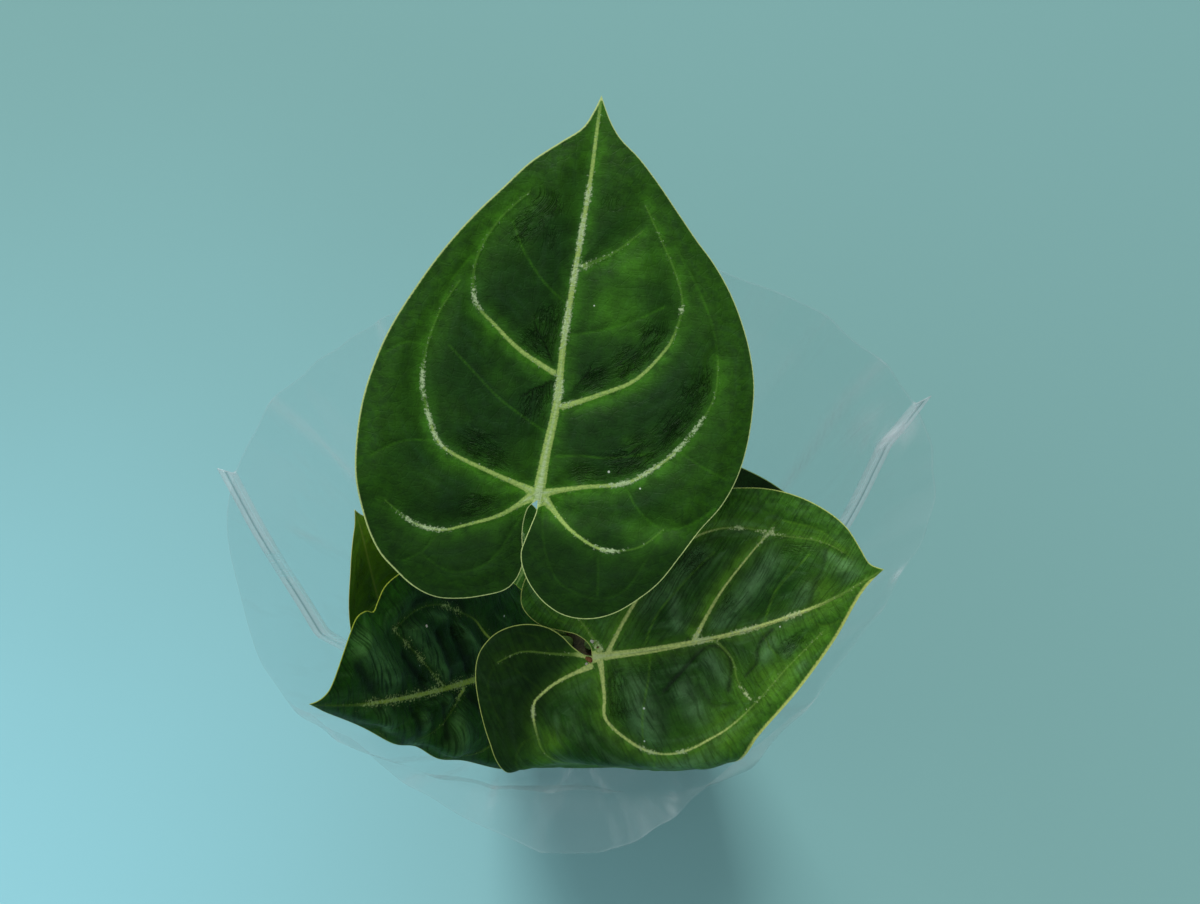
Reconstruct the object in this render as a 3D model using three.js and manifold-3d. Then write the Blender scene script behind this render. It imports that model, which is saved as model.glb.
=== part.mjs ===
// Potted anthurium: six velvet leaves on round stalks, a short crown, potting mix
// in a nursery pot, and the clear film sleeve that the plant stands in.
// Millimetres, +Z up, origin at the centre of the pot's base, viewer on the -Y side.
import * as THREE from 'three';
import { ConvexHull } from 'three/addons/math/ConvexHull.js';
import { mergeVertices } from 'three/addons/utils/BufferGeometryUtils.js';
import Module from 'manifold-3d';

const wasm = await Module();
wasm.setup();

// Driving dimensions.
const GAP = 0.3;

const POT_HEIGHT = 98;
const POT_BASE_RADIUS = 39;
const POT_RIM_RADIUS = 55;
const POT_WALL = 1.5;
const POT_FLOOR = 2;
const RIM_BAND = 12;
const RIM_STEP = 3;
const DRAIN_HOLES = 8;
const DRAIN_RADIUS = 4;
const DRAIN_RING = 28;

const SOIL_TOP = 88;
const CHIP_COUNT = 26;

const CROWN_RADIUS = 12;
const CROWN_BOTTOM = 72;
const CROWN_SEAT = 106;
const CROWN_RING = 8;
const COLLAR_HEIGHT = 7;

const BLADE_THICKNESS = 0.8;
const RIB_DEPTH = 0.9;
const RIDGE_HEIGHT = 0.5;
const VEIN_HALF_WIDTH = 1.5;

const STALK_BASE_RADIUS = 2.5;
const STALK_TOP_RADIUS = 1.8;
const KNEE_RADIUS = 2.5;
const KNEE_LENGTH = 10;
const SETTLE = 0.15;

const FILM = 0.7;
const FILM_REST = POT_RIM_RADIUS + GAP + FILM + 0.25;
const SEAM_REACH = 5;
const SEAM_HALF = 0.35;
const SEAM_TIP = 5;
const SLEEVE_BOTTOM = 20;
const SLEEVE_TOP = 320;
const FILM_STEPS = 18;

const rad = THREE.MathUtils.degToRad;
const lerp = THREE.MathUtils.lerp;
const smoothstep = THREE.MathUtils.smoothstep;

// A repeatable random draw between 0 and 1.
function seeded(seed) {
  let state = seed;
  return () => {
    state = (state * 1664525 + 1013904223) % 4294967296;
    return state / 4294967296;
  };
}

// Leaf outlines and veins, in the plane of the blade: x across to the right, y towards
// the tip, origin where the stalk joins. Each margin runs from the stalk round its lobe.
const LARGE = {
  length: 132,
  margin: {
    left: [
      [0, 0], [-2.6, -3], [-3.4, -8], [-3, -13], [-1.6, -20], [-2.6, -26], [-6, -30.5],
      [-13, -33.5],
      [-20, -35.4], [-27.6, -36], [-35, -33.8], [-42, -29.2], [-48.1, -23.9], [-53.7, -15], [-58.7, -2],
      [-60.5, 11.6], [-60.4, 24.7], [-58.2, 38], [-54.6, 49.9], [-48.3, 63.9], [-41.8, 76.3],
      [-34.2, 88.3], [-26.6, 98.4], [-19.3, 107.8], [-10.8, 115.7], [-4.6, 121.4], [-1.8, 127.4],
      [0, 133.4],
    ],
    right: [
      [0, 0], [0.2, -3.5], [-0.8, -8.3], [-2, -13.5], [-2.6, -17.5], [-1.4, -22], [2, -27.4],
      [7.7, -32.4],
      [14.7, -35.2], [22.8, -34.9], [30.4, -31.7], [37.6, -25.7], [43.2, -19.3], [48.3, -10.3],
      [53.4, -1.3], [59.1, 7.7], [62.7, 18.1], [64.1, 29.7], [63.7, 42.7], [61.9, 52.2], [57.9, 63],
      [51.8, 74.4], [44.8, 83.7], [37.8, 90.8], [31.2, 97.9], [23.3, 106.4], [15.6, 114], [8.8, 119.4],
      [5, 124], [2, 129.2], [0, 133.4],
    ],
  },
  midrib: [
    [0, 0], [0.3, 14.7], [1.3, 32.8], [0.4, 52], [0.6, 84.9], [0.8, 104.5], [0.4, 120], [0, 133.4],
  ],
  veins: {
    left: [
      [[-2.4, 0.6], [-11, -6.6], [-21.7, -11.6], [-29.4, -14.4], [-38.7, -13.3], [-48.4, -7.6]],
      [
        [-2.7, 2.8], [-16.4, 6.5], [-28.4, 10.2], [-34.8, 14.1], [-39.5, 23.1], [-42.6, 32.4],
        [-42.8, 43.8], [-40.4, 55.6], [-35.6, 66.1],
      ],
      [[-1.3, 41.5], [-13, 46.9], [-22.2, 53.6], [-29.8, 60.5], [-31.5, 73.5], [-26.5, 87.2], [-17.8, 98.3]],
    ],
    right: [
      [[2.4, 0.6], [11.2, -7.3], [21.6, -12.2], [29.4, -11.8], [35.9, -9], [41.6, -3]],
      [
        [1.7, 2.6], [13.4, 6.2], [26.9, 9.6], [35.5, 15.8], [42.2, 23], [48.4, 33.6], [51.3, 42.7],
        [50.5, 53.1],
      ],
      [
        [3.2, 30.9], [15.9, 37.4], [25, 43], [31.9, 51.9], [35.3, 59.3], [36.4, 69.5], [33.2, 78.2],
        [27.1, 88.2], [20, 99],
      ],
      [[3.2, 77.1], [12.3, 83.1], [20.1, 91.2]],
    ],
  },
};

const BROAD = {
  length: 105,
  margin: {
    left: [
      [0, 0], [-3, 0.6], [-6, -0.6], [-9, -3.4], [-11.6, -8], [-15, -13.6], [-20, -17.2], [-25, -18],
      [-31, -15], [-37.5, -8], [-43, 3], [-46, 18], [-46.4, 33], [-44.6, 48], [-41, 63], [-37, 75],
      [-31, 84.6], [-23.6, 92], [-16.5, 96.4], [-9, 98.4], [-3.2, 99.8], [0, 103.6],
    ],
    right: [
      [0, 0], [-1.6, -2.6], [-5, -4.6], [-10, -6.8], [-14.8, -11.4], [-17.8, -18.4], [-18.2, -26],
      [-16.2, -32], [-12, -37], [-5, -40.2], [6, -42], [18, -42.4], [30, -40.6], [42, -35], [50.4, -26],
      [56, -12], [58.4, 2], [57.6, 16], [54.4, 27], [48.6, 37], [41, 47], [30, 64.6], [18, 80.6],
      [7, 92.4], [2.6, 98.4], [0, 103.6],
    ],
  },
  midrib: [[0, 0], [3, 17], [5, 34], [6.2, 51], [6, 69], [4.6, 84], [1.6, 97], [0, 103.6]],
  veins: {
    left: [
      [[-1.6, 3.4], [-10, 1], [-20, -3], [-29, -5]],
      [
        [0.6, 5.4], [-8, 14], [-14.6, 22], [-22, 33], [-27.6, 43], [-29, 54], [-26.6, 64], [-21, 74],
        [-15, 86.5], [-9, 93],
      ],
      [[4, 36], [-8, 49], [-19, 65], [-25.5, 76.5]],
    ],
    right: [
      [[-1.4, -2], [-5.6, -12.6], [-9, -22], [-8, -31]],
      [[3, -1.6], [4.2, -12], [6.4, -19], [10, -24], [20, -26.4], [27, -26], [38, -19], [45, -10]],
      [
        [2.4, 2.4], [14, 0], [21.4, -2], [30, 3], [36.6, 11], [38.6, 21], [36.4, 36], [30.4, 49],
        [22, 63], [14, 78],
      ],
      [[5.6, 42], [15, 46], [25, 47], [33, 49]],
    ],
  },
};

const CRUMPLED = {
  length: 121,
  margin: {
    left: [
      [0, 0], [-2.4, -3], [-4, -9], [-7, -16], [-13, -21.6], [-22, -22.6], [-30, -17], [-35, -5],
      [-37.4, 10], [-35, 28], [-30.6, 45], [-25.4, 61], [-19.6, 78], [-13, 95], [-7, 108.6], [-2.6, 116.4],
      [0, 121],
    ],
    right: [
      [0, 0], [1.6, -4], [4, -10], [9, -14], [17, -13.4], [26, -8], [33, 2], [39, 16], [43.6, 34],
      [46.2, 52], [45.6, 68], [42.6, 79], [38.6, 86.4], [33.4, 90], [30.2, 92.4], [30.8, 97], [28.4, 103],
      [19, 109.4], [9, 114.6], [3, 118.4], [0, 121],
    ],
  },
  midrib: [[0, 0], [-1, 26], [-2, 49], [-2.2, 73], [-1.4, 96], [-0.6, 110], [0, 121]],
  veins: {
    left: [
      [[-2, -1], [-10, -7], [-19, -10], [-27, -6]],
      [[-2.4, 2.6], [-14, 9], [-25, 19], [-31, 33], [-30, 50], [-24, 66], [-16, 82]],
      [[-3.4, 36], [-12, 47], [-19, 60]],
    ],
    right: [
      [[2.4, 2.6], [13, 10], [24, 22], [31.4, 38], [33.4, 55], [30, 72], [22, 88]],
      [[-0.2, 49], [11, 65], [23, 81]],
      [[-0.4, 24], [9, 33], [20, 47], [29, 57]],
    ],
  },
};

// The large outline at another length and width, for the leaves that are mostly hidden.
function resized(outline, length, widthFactor) {
  const along = length / outline.length;
  const across = along * widthFactor;
  const line = (points) => points.map(([x, y]) => [x * across, y * along]);
  const both = (sides, change) => ({ left: change(sides.left), right: change(sides.right) });
  return {
    length,
    margin: both(outline.margin, line),
    midrib: line(outline.midrib),
    veins: both(outline.veins, (veins) => veins.slice(0, 3).map(line)),
  };
}

// Each leaf: where its stalk joins, which way its tip points (azimuth and pitch), how far
// it is rolled, its form, the stalk's place on the crown (ring) and its outward lean there,
// the mesh spacing at the margin, veins and panels, and the bends where it meets the sleeve.
const LEAVES = [
  {
    name: 'leaf_1', outline: LARGE, at: [-11.6, -0.8, 334.8], azimuth: 80.7, pitch: 15.8, roll: -2.6,
    fold: 0.1, quilt: 1.7, wave: 0.7, waves: 5, phase: 0.6, lift: [0, -1], ring: 62, lean: 0.04,
    spacing: [5, 6, 10], bends: [{ from: [0, 100], towards: 90, radius: 170, turn: 12 }],
  },
  {
    name: 'leaf_2', outline: BROAD, at: [5.9, -44.4, 290], azimuth: 13.8, pitch: 17.7, roll: -16,
    fold: 0.06, quilt: 1.9, wave: 0.8, waves: 6, phase: 1.9, lift: [-0.7, -0.7], ring: 300, lean: 0.04,
    spacing: [5, 6, 10], bends: [{ from: [28, -5], towards: -15.3, radius: 8, turn: 76 }],
  },
  {
    name: 'leaf_3', outline: CRUMPLED, at: [-24.3, -33.1, 200], azimuth: -152.9, pitch: 55.9, roll: 29.5,
    fold: 0.12, quilt: 2.4, wave: 1, waves: 7, phase: 0.3, lift: [0, -1], ring: 228, lean: 0.04,
    spacing: [6, 7, 11], bends: [{ from: [-2, 84], towards: 162.6, radius: 8, turn: 70 }],
  },
  {
    name: 'leaf_4', outline: resized(LARGE, 76, 0.85), at: [-71.2, -26.6, 224], azimuth: 99, pitch: 64,
    roll: -48, fold: 0.5, quilt: 1.2, wave: 0.5, waves: 5, phase: 2.4, lift: [0, -1], ring: 190,
    lean: 0.12, spacing: [7, 8, 13], bends: [],
  },
  {
    name: 'leaf_5', outline: resized(LARGE, 75, 1.1), at: [28.4, -4.3, 262], azimuth: -3, pitch: 17,
    roll: 12, fold: 0.25, quilt: 1.2, wave: 0.7, waves: 5, phase: 1.1, lift: [0, -1], ring: 8,
    lean: 0.04, spacing: [7, 8, 13], bends: [],
  },
  {
    name: 'leaf_6', outline: resized(LARGE, 50, 1.15), at: [-22, 15, 160], azimuth: 168, pitch: 12,
    roll: 0, fold: 0.2, quilt: 0.9, wave: 0.5, waves: 5, phase: 0.2, lift: [0, -1], ring: 128,
    lean: 0.04, spacing: [7, 8, 12], bends: [],
  },
];

const SIDES = ['left', 'right'];

// Evenly spaced points on a smooth curve through hand-set ones.
function spaced(points, spacing) {
  const curve = new THREE.SplineCurve(points.map(([x, y]) => new THREE.Vector2(x, y)));
  return curve.getSpacedPoints(Math.max(3, Math.round(curve.getLength() / spacing)));
}

function inside(point, polygon) {
  let odd = false;
  polygon.forEach((a, i) => {
    const b = polygon[(i + 1) % polygon.length];
    if ((a.y > point.y) === (b.y > point.y)) return;
    if (point.x < a.x + ((point.y - a.y) / (b.y - a.y)) * (b.x - a.x)) odd = !odd;
  });
  return odd;
}

function distanceTo(point, line) {
  let best = Infinity;
  const foot = new THREE.Vector2();
  for (let i = 0; i + 1 < line.length; i += 1) {
    const along = foot.copy(line[i + 1]).sub(line[i]);
    const share = THREE.MathUtils.clamp(
      ((point.x - line[i].x) * along.x + (point.y - line[i].y) * along.y) / along.lengthSq(), 0, 1);
    const dx = line[i].x + along.x * share - point.x;
    const dy = line[i].y + along.y * share - point.y;
    best = Math.min(best, Math.hypot(dx, dy));
  }
  return best;
}

// The lower side of the hull of the points lifted onto a paraboloid is their Delaunay mesh.
function delaunay(points) {
  const lifted = points.map((p) => new THREE.Vector3(p.x, p.y, p.lengthSq() / 100));
  const index = new Map(lifted.map((p, i) => [p, i]));
  const hull = new ConvexHull().setFromPoints(lifted);
  const triangles = [];
  for (const face of hull.faces) {
    if (face.normal.z > -1e-9) continue;
    const corners = [face.edge, face.edge.next, face.edge.prev].map((e) => index.get(e.head().point));
    triangles.push([corners[0], corners[2], corners[1]]);
  }
  return triangles;
}

// One half of a blade, between the midrib and its margin, as points and triangles.
function halfBlade(leaf, side) {
  const [marginStep, veinStep, fieldStep] = leaf.spacing;
  const turn = side === 'left' ? 1 : -1;
  const margin = spaced(leaf.outline.margin[side], marginStep);
  const midrib = spaced(leaf.outline.midrib, veinStep);
  const polygon = [...midrib, ...margin.slice(1, -1).reverse()];
  const points = [...polygon];
  const add = (point, clear, edge) => {
    if (!inside(point, polygon) || distanceTo(point, polygon) < edge) return;
    if (points.every((q) => q.distanceTo(point) > clear)) points.push(point);
  };
  const row = (line, offset, edge) => {
    line.forEach((p, i) => {
      const ahead = line[Math.min(i + 1, line.length - 1)];
      const along = ahead.clone().sub(line[Math.max(i - 1, 0)]).normalize();
      const beside = new THREE.Vector2(p.x - along.y * offset, p.y + along.x * offset);
      add(beside, VEIN_HALF_WIDTH * 0.9, edge);
    });
  };
  const veins = leaf.outline.veins[side].map((vein) => spaced(vein, veinStep));
  veins.forEach((vein) => row(vein, 0, 1.4));
  row(midrib.slice(1), turn * VEIN_HALF_WIDTH * 1.15, 1);
  veins.forEach((vein) => [-1, 1].forEach((flank) => row(vein, flank * VEIN_HALF_WIDTH, 1.4)));
  const reach = leaf.outline.length;
  for (let j = -reach; j < reach * 1.1; j += fieldStep * 0.87) {
    for (let i = -reach; i < reach; i += fieldStep) {
      const stagger = Math.round(j / (fieldStep * 0.87)) % 2 ? fieldStep / 2 : 0;
      add(new THREE.Vector2(i + stagger, j + 0.13 * i), fieldStep * 0.5, fieldStep * 0.35);
    }
  }
  const triangles = delaunay(points).filter((t) => {
    const [a, b, c] = t.map((i) => points[i]);
    return inside(new THREE.Vector2((a.x + b.x + c.x) / 3, (a.y + b.y + c.y) / 3), polygon);
  });
  return { points, triangles, shared: midrib.length };
}

// Height of the blade above its plane: folded at the midrib, quilted between the veins,
// waved at the margin, with raised veins and one lobe laid over the other.
function relief(leaf, side, lines) {
  return (p) => {
    const fromStalk = p.length();
    const toMidrib = distanceTo(p, lines.midrib);
    const toMargin = distanceTo(p, lines.margin);
    const toVein = Math.min(toMidrib, ...lines.veins.map((vein) => distanceTo(p, vein)));
    const rise = smoothstep(fromStalk, 3, 12);
    const quilt = leaf.quilt * (1 - Math.exp(-((toVein / 6) ** 2))) * smoothstep(toMargin, 0, 9);
    const fold = leaf.fold * (Math.hypot(toMidrib, 6) - 6);
    const angle = Math.atan2(p.x, p.y - leaf.outline.length * 0.35);
    const wave = leaf.wave * Math.sin(leaf.waves * angle + leaf.phase) * Math.exp(-toMargin / 12);
    const beyond = p.x * leaf.lift[0] + p.y * leaf.lift[1];
    const lobe = (side === 'right' ? 3.2 : -0.8) * smoothstep(beyond, 1, 11);
    const taper = lerp(1, 0.45, smoothstep(p.y, 0, leaf.outline.length));
    const crest = Math.exp(-((toVein / (VEIN_HALF_WIDTH * 0.8)) ** 2));
    const ridge = crest * taper * smoothstep(toMargin, 0, 3);
    const boss = Math.max(ridge, 1 - smoothstep(fromStalk, 4, 7));
    return { level: rise * (quilt + fold + wave) + lobe, ridge: boss };
  };
}

// Roll the part of a blade beyond a line round a cylinder under it.
function bent(point, bend) {
  const turned = rad(bend.towards);
  const out = new THREE.Vector2(Math.cos(turned), Math.sin(turned));
  const past = (point.x - bend.from[0]) * out.x + (point.y - bend.from[1]) * out.y;
  if (past <= 0) return point;
  const angle = Math.min(past / bend.radius, rad(bend.turn));
  const rest = past - bend.radius * angle;
  const reach = (bend.radius + point.z) * Math.sin(angle) + rest * Math.cos(angle);
  const height = (bend.radius + point.z) * Math.cos(angle) - bend.radius - rest * Math.sin(angle);
  return new THREE.Vector3(point.x + out.x * (reach - past), point.y + out.y * (reach - past), height);
}

function indexed(vertices, triangles) {
  const geometry = new THREE.BufferGeometry();
  const numbers = vertices.flatMap((v) => v.toArray());
  geometry.setAttribute('position', new THREE.Float32BufferAttribute(numbers, 3));
  geometry.setIndex(triangles.flat());
  geometry.computeVertexNormals();
  return geometry;
}

// A closed blade: the same triangles on both faces, and a wall round the margin.
function bladeGeometry(leaf) {
  const plan = [];
  const heights = [];
  const faces = [];
  const midribIndex = [];
  for (const side of SIDES) {
    const half = halfBlade(leaf, side);
    const lines = {
      midrib: spaced(leaf.outline.midrib, 3),
      margin: spaced(leaf.outline.margin[side], 3),
      veins: leaf.outline.veins[side].map((vein) => spaced(vein, 3)),
    };
    const height = relief(leaf, side, lines);
    const place = half.points.map((p, i) => {
      if (i < half.shared && midribIndex[i] !== undefined) return midribIndex[i];
      plan.push(p);
      heights.push(height(p));
      if (i < half.shared) midribIndex[i] = plan.length - 1;
      return plan.length - 1;
    });
    half.triangles.forEach((t) => faces.push(t.map((i) => place[i])));
  }
  const layer = (drop) => plan.map((p, i) => {
    const z = heights[i].level + drop(heights[i].ridge);
    return leaf.bends.reduce(bent, new THREE.Vector3(p.x, p.y, z));
  });
  const top = layer((ridge) => ridge * RIDGE_HEIGHT);
  const bottom = layer((ridge) => -BLADE_THICKNESS - ridge * RIB_DEPTH);
  const count = plan.length;
  const once = new Map();
  for (const [a, b, c] of faces) {
    for (const [from, to] of [[a, b], [b, c], [c, a]]) {
      if (!once.delete(`${to} ${from}`)) once.set(`${from} ${to}`, [from, to]);
    }
  }
  const triangles = faces.map((t) => [...t]);
  faces.forEach(([a, b, c]) => triangles.push([a + count, c + count, b + count]));
  once.forEach(([a, b]) => triangles.push([a, a + count, b + count], [a, b + count, b]));
  return indexed([...top, ...bottom], triangles);
}

function leafBasis(leaf) {
  const azimuth = rad(leaf.azimuth);
  const pitch = rad(leaf.pitch);
  const ahead = new THREE.Vector3(
    Math.cos(azimuth) * Math.cos(pitch), Math.sin(azimuth) * Math.cos(pitch), Math.sin(pitch));
  const level = new THREE.Vector3(Math.sin(azimuth), -Math.cos(azimuth), 0);
  const right = level.applyAxisAngle(ahead, -rad(leaf.roll));
  return new THREE.Matrix4().makeBasis(right, ahead, new THREE.Vector3().crossVectors(right, ahead));
}

// A round stalk of changing radius along a curve, closed by flat ends.
function stalkGeometry(curve, steps, sides, radiusAt, endNormals) {
  const vertices = [];
  const triangles = [];
  let across = new THREE.Vector3(1, 0, 0);
  for (let i = 0; i <= steps; i += 1) {
    const share = i / steps;
    const centre = curve.getPointAt(share);
    const tangent = curve.getTangentAt(share);
    if (i === 0) tangent.copy(endNormals[0]);
    if (i === steps) tangent.copy(endNormals[1]);
    across = across.clone().addScaledVector(tangent, -across.dot(tangent)).normalize();
    const second = new THREE.Vector3().crossVectors(tangent, across);
    const radius = radiusAt(share);
    for (let k = 0; k < sides; k += 1) {
      const angle = (k / sides) * Math.PI * 2;
      vertices.push(centre.clone()
        .addScaledVector(across, radius * Math.cos(angle))
        .addScaledVector(second, radius * Math.sin(angle)));
      if (i === 0) continue;
      const a = (i - 1) * sides + k;
      const b = (i - 1) * sides + ((k + 1) % sides);
      triangles.push([a, b, b + sides], [a, b + sides, a + sides]);
    }
  }
  for (let k = 1; k + 1 < sides; k += 1) {
    triangles.push([0, k + 1, k], [steps * sides, steps * sides + k, steps * sides + k + 1]);
  }
  return indexed(vertices, triangles);
}

function stalk(leaf) {
  const basis = leafBasis(leaf);
  const normal = new THREE.Vector3().setFromMatrixColumn(basis, 2);
  const under = new THREE.Vector3(0.2, 3.4, -BLADE_THICKNESS - RIB_DEPTH - GAP - SETTLE);
  const top = under.applyMatrix4(basis).add(new THREE.Vector3(...leaf.at));
  const ring = rad(leaf.ring);
  const outward = new THREE.Vector3(Math.cos(ring), Math.sin(ring), 0);
  const base = outward.clone().multiplyScalar(CROWN_RING).setZ(CROWN_SEAT + GAP);
  const span = top.distanceTo(base);
  const lower = base.clone().addScaledVector(outward, span * leaf.lean);
  lower.z += span * 0.3;
  const upper = top.clone().addScaledVector(normal, -span * 0.22);
  const curve = new THREE.CubicBezierCurve3(base, lower, upper, top);
  const kneeStart = 1 - KNEE_LENGTH / curve.getLength();
  const radiusAt = (share) => {
    const slim = lerp(STALK_BASE_RADIUS, STALK_TOP_RADIUS, Math.min(share / kneeStart, 1));
    return lerp(slim, KNEE_RADIUS, smoothstep(share, kneeStart, kneeStart + 0.3 * (1 - kneeStart)));
  };
  const steps = Math.max(9, Math.round(curve.getLength() / 14));
  return stalkGeometry(curve, steps, 8, radiusAt, [new THREE.Vector3(0, 0, 1), normal]);
}

// Booleans on closed meshes.
function solid(geometry) {
  const bare = geometry.clone();
  bare.deleteAttribute('normal');
  bare.deleteAttribute('uv');
  const merged = mergeVertices(bare, 1e-4);
  return new wasm.Manifold(new wasm.Mesh({
    numProp: 3,
    vertProperties: new Float32Array(merged.attributes.position.array),
    triVerts: new Uint32Array(merged.index.array),
  }));
}

function fromSolid(body) {
  const mesh = body.getMesh();
  const geometry = new THREE.BufferGeometry();
  geometry.setAttribute('position', new THREE.BufferAttribute(mesh.vertProperties, 3));
  geometry.setIndex(new THREE.BufferAttribute(mesh.triVerts, 1));
  geometry.computeVertexNormals();
  return geometry;
}

// A profile of radius and height turned round the pot's axis.
function turned(profile, segments) {
  const points = profile.map(([radius, height]) => new THREE.Vector2(radius, height));
  return new THREE.LatheGeometry(points, segments).rotateX(Math.PI / 2);
}

// The pot's wall leans outwards up to a stepped rim band.
const bodyTop = POT_HEIGHT - RIM_BAND;
const shoulderRadius = POT_RIM_RADIUS - RIM_STEP;
const potRadius = (height) => lerp(POT_BASE_RADIUS, shoulderRadius, height / bodyTop);

function potGeometry() {
  const cavityTop = POT_RIM_RADIUS - POT_WALL;
  const profile = [
    [0, 0], [POT_BASE_RADIUS - 1, 0], [POT_BASE_RADIUS, 1], [shoulderRadius, bodyTop],
    [POT_RIM_RADIUS - 0.6, bodyTop], [POT_RIM_RADIUS, bodyTop + 1], [POT_RIM_RADIUS, POT_HEIGHT - 1],
    [POT_RIM_RADIUS - 0.5, POT_HEIGHT], [cavityTop, POT_HEIGHT], [cavityTop, bodyTop + POT_WALL],
    [shoulderRadius - POT_WALL, bodyTop + POT_WALL], [shoulderRadius - POT_WALL, bodyTop],
    [potRadius(POT_FLOOR) - POT_WALL, POT_FLOOR], [0, POT_FLOOR],
  ];
  let pot = solid(turned(profile, 40));
  for (let k = 0; k < DRAIN_HOLES; k += 1) {
    const angle = (k / DRAIN_HOLES) * Math.PI * 2;
    const hole = new THREE.CylinderGeometry(DRAIN_RADIUS, DRAIN_RADIUS, POT_FLOOR * 4, 10);
    hole.rotateX(Math.PI / 2);
    hole.translate(DRAIN_RING * Math.cos(angle), DRAIN_RING * Math.sin(angle), POT_FLOOR / 2);
    pot = pot.subtract(solid(hole));
  }
  return fromSolid(pot);
}

// Root ball with an uneven top, bark chips and white grit sunk into it, and a plain hole.
function soilHeight(x, y) {
  const lumps = Math.sin(x * 0.23 + 1) * Math.cos(y * 0.19 - 0.6) + 0.6 * Math.sin(x * 0.11 - y * 0.27);
  return SOIL_TOP - 3 + 1.6 * lumps;
}

function soilGeometry() {
  const floor = POT_FLOOR + GAP;
  const wallAt = (height) => potRadius(height) - POT_WALL - GAP - 0.1;
  const topRadius = wallAt(SOIL_TOP - 6);
  const sides = 26;
  const rings = [0.36, 0.7, 0.96, 1];
  const vertices = [new THREE.Vector3(0, 0, soilHeight(0, 0))];
  const triangles = [];
  rings.forEach((share, r) => {
    for (let k = 0; k < sides; k += 1) {
      const angle = (k / sides) * Math.PI * 2;
      const x = topRadius * share * Math.cos(angle);
      const y = topRadius * share * Math.sin(angle);
      vertices.push(new THREE.Vector3(x, y, share === 1 ? SOIL_TOP - 6 : soilHeight(x, y)));
      const next = (k + 1) % sides;
      const here = 1 + r * sides;
      if (r === 0) triangles.push([0, here + k, here + next]);
      if (r === 0) continue;
      const within = here - sides;
      triangles.push([within + k, here + k, here + next], [within + k, here + next, within + next]);
    }
  });
  const rim = 1 + (rings.length - 1) * sides;
  const foot = vertices.length;
  for (let k = 0; k < sides; k += 1) {
    const angle = (k / sides) * Math.PI * 2;
    const radius = wallAt(floor);
    vertices.push(new THREE.Vector3(radius * Math.cos(angle), radius * Math.sin(angle), floor));
    const next = (k + 1) % sides;
    triangles.push([rim + k, foot + k, foot + next], [rim + k, foot + next, rim + next]);
    triangles.push([foot + sides, foot + next, foot + k]);
  }
  vertices.push(new THREE.Vector3(0, 0, floor));
  let soil = solid(indexed(vertices, triangles));
  const draw = seeded(41);
  for (let k = 0; k < CHIP_COUNT; k += 1) {
    const grit = k % 4 === 3;
    const angle = k * 2.39996;
    const radius = 21 + (topRadius - 30) * Math.sqrt((k + 0.5) / CHIP_COUNT);
    const size = grit ? 2.2 + draw() : 5 + 4 * draw();
    const chip = grit
      ? new THREE.IcosahedronGeometry(size, 0)
      : new THREE.BoxGeometry(size * 1.5, size, size * 0.5);
    chip.rotateX(rad(40 * (draw() - 0.5))).rotateY(rad(40 * (draw() - 0.5))).rotateZ(rad(360 * draw()));
    const x = radius * Math.cos(angle);
    const y = radius * Math.sin(angle);
    chip.translate(x, y, soilHeight(x, y) - size * 0.08);
    soil = soil.add(solid(chip));
  }
  const reach = new THREE.CylinderGeometry(topRadius, topRadius, 120, 40).rotateX(Math.PI / 2);
  soil = soil.intersect(solid(reach.translate(0, 0, 60)));
  const holeRadius = CROWN_RADIUS + GAP + 0.2;
  const hole = new THREE.CylinderGeometry(holeRadius, holeRadius, 60, 16).rotateX(Math.PI / 2);
  hole.translate(0, 0, CROWN_BOTTOM - GAP + 30);
  return fromSolid(soil.subtract(solid(hole)));
}

// Short stem in the soil with a scalloped collar of sheaths round the foot of the stalks.
function crownGeometry() {
  const collar = CROWN_RADIUS + 1.4;
  const profile = [
    [0, CROWN_BOTTOM], [CROWN_RADIUS - 2, CROWN_BOTTOM], [CROWN_RADIUS, CROWN_BOTTOM + 4],
    [CROWN_RADIUS, CROWN_SEAT - 8], [collar, CROWN_SEAT], [collar + 0.6, CROWN_SEAT + COLLAR_HEIGHT],
    [collar - 0.4, CROWN_SEAT + COLLAR_HEIGHT], [collar - 1.2, CROWN_SEAT], [0, CROWN_SEAT],
  ];
  const geometry = turned(profile, 24);
  const place = geometry.attributes.position;
  for (let i = 0; i < place.count; i += 1) {
    const height = place.getZ(i);
    if (height < CROWN_SEAT + 1) continue;
    const angle = Math.atan2(place.getY(i), place.getX(i));
    place.setZ(i, height - COLLAR_HEIGHT * 0.5 * Math.abs(Math.sin(angle * 2.5)));
  }
  return fromSolid(solid(geometry));
}

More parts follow.
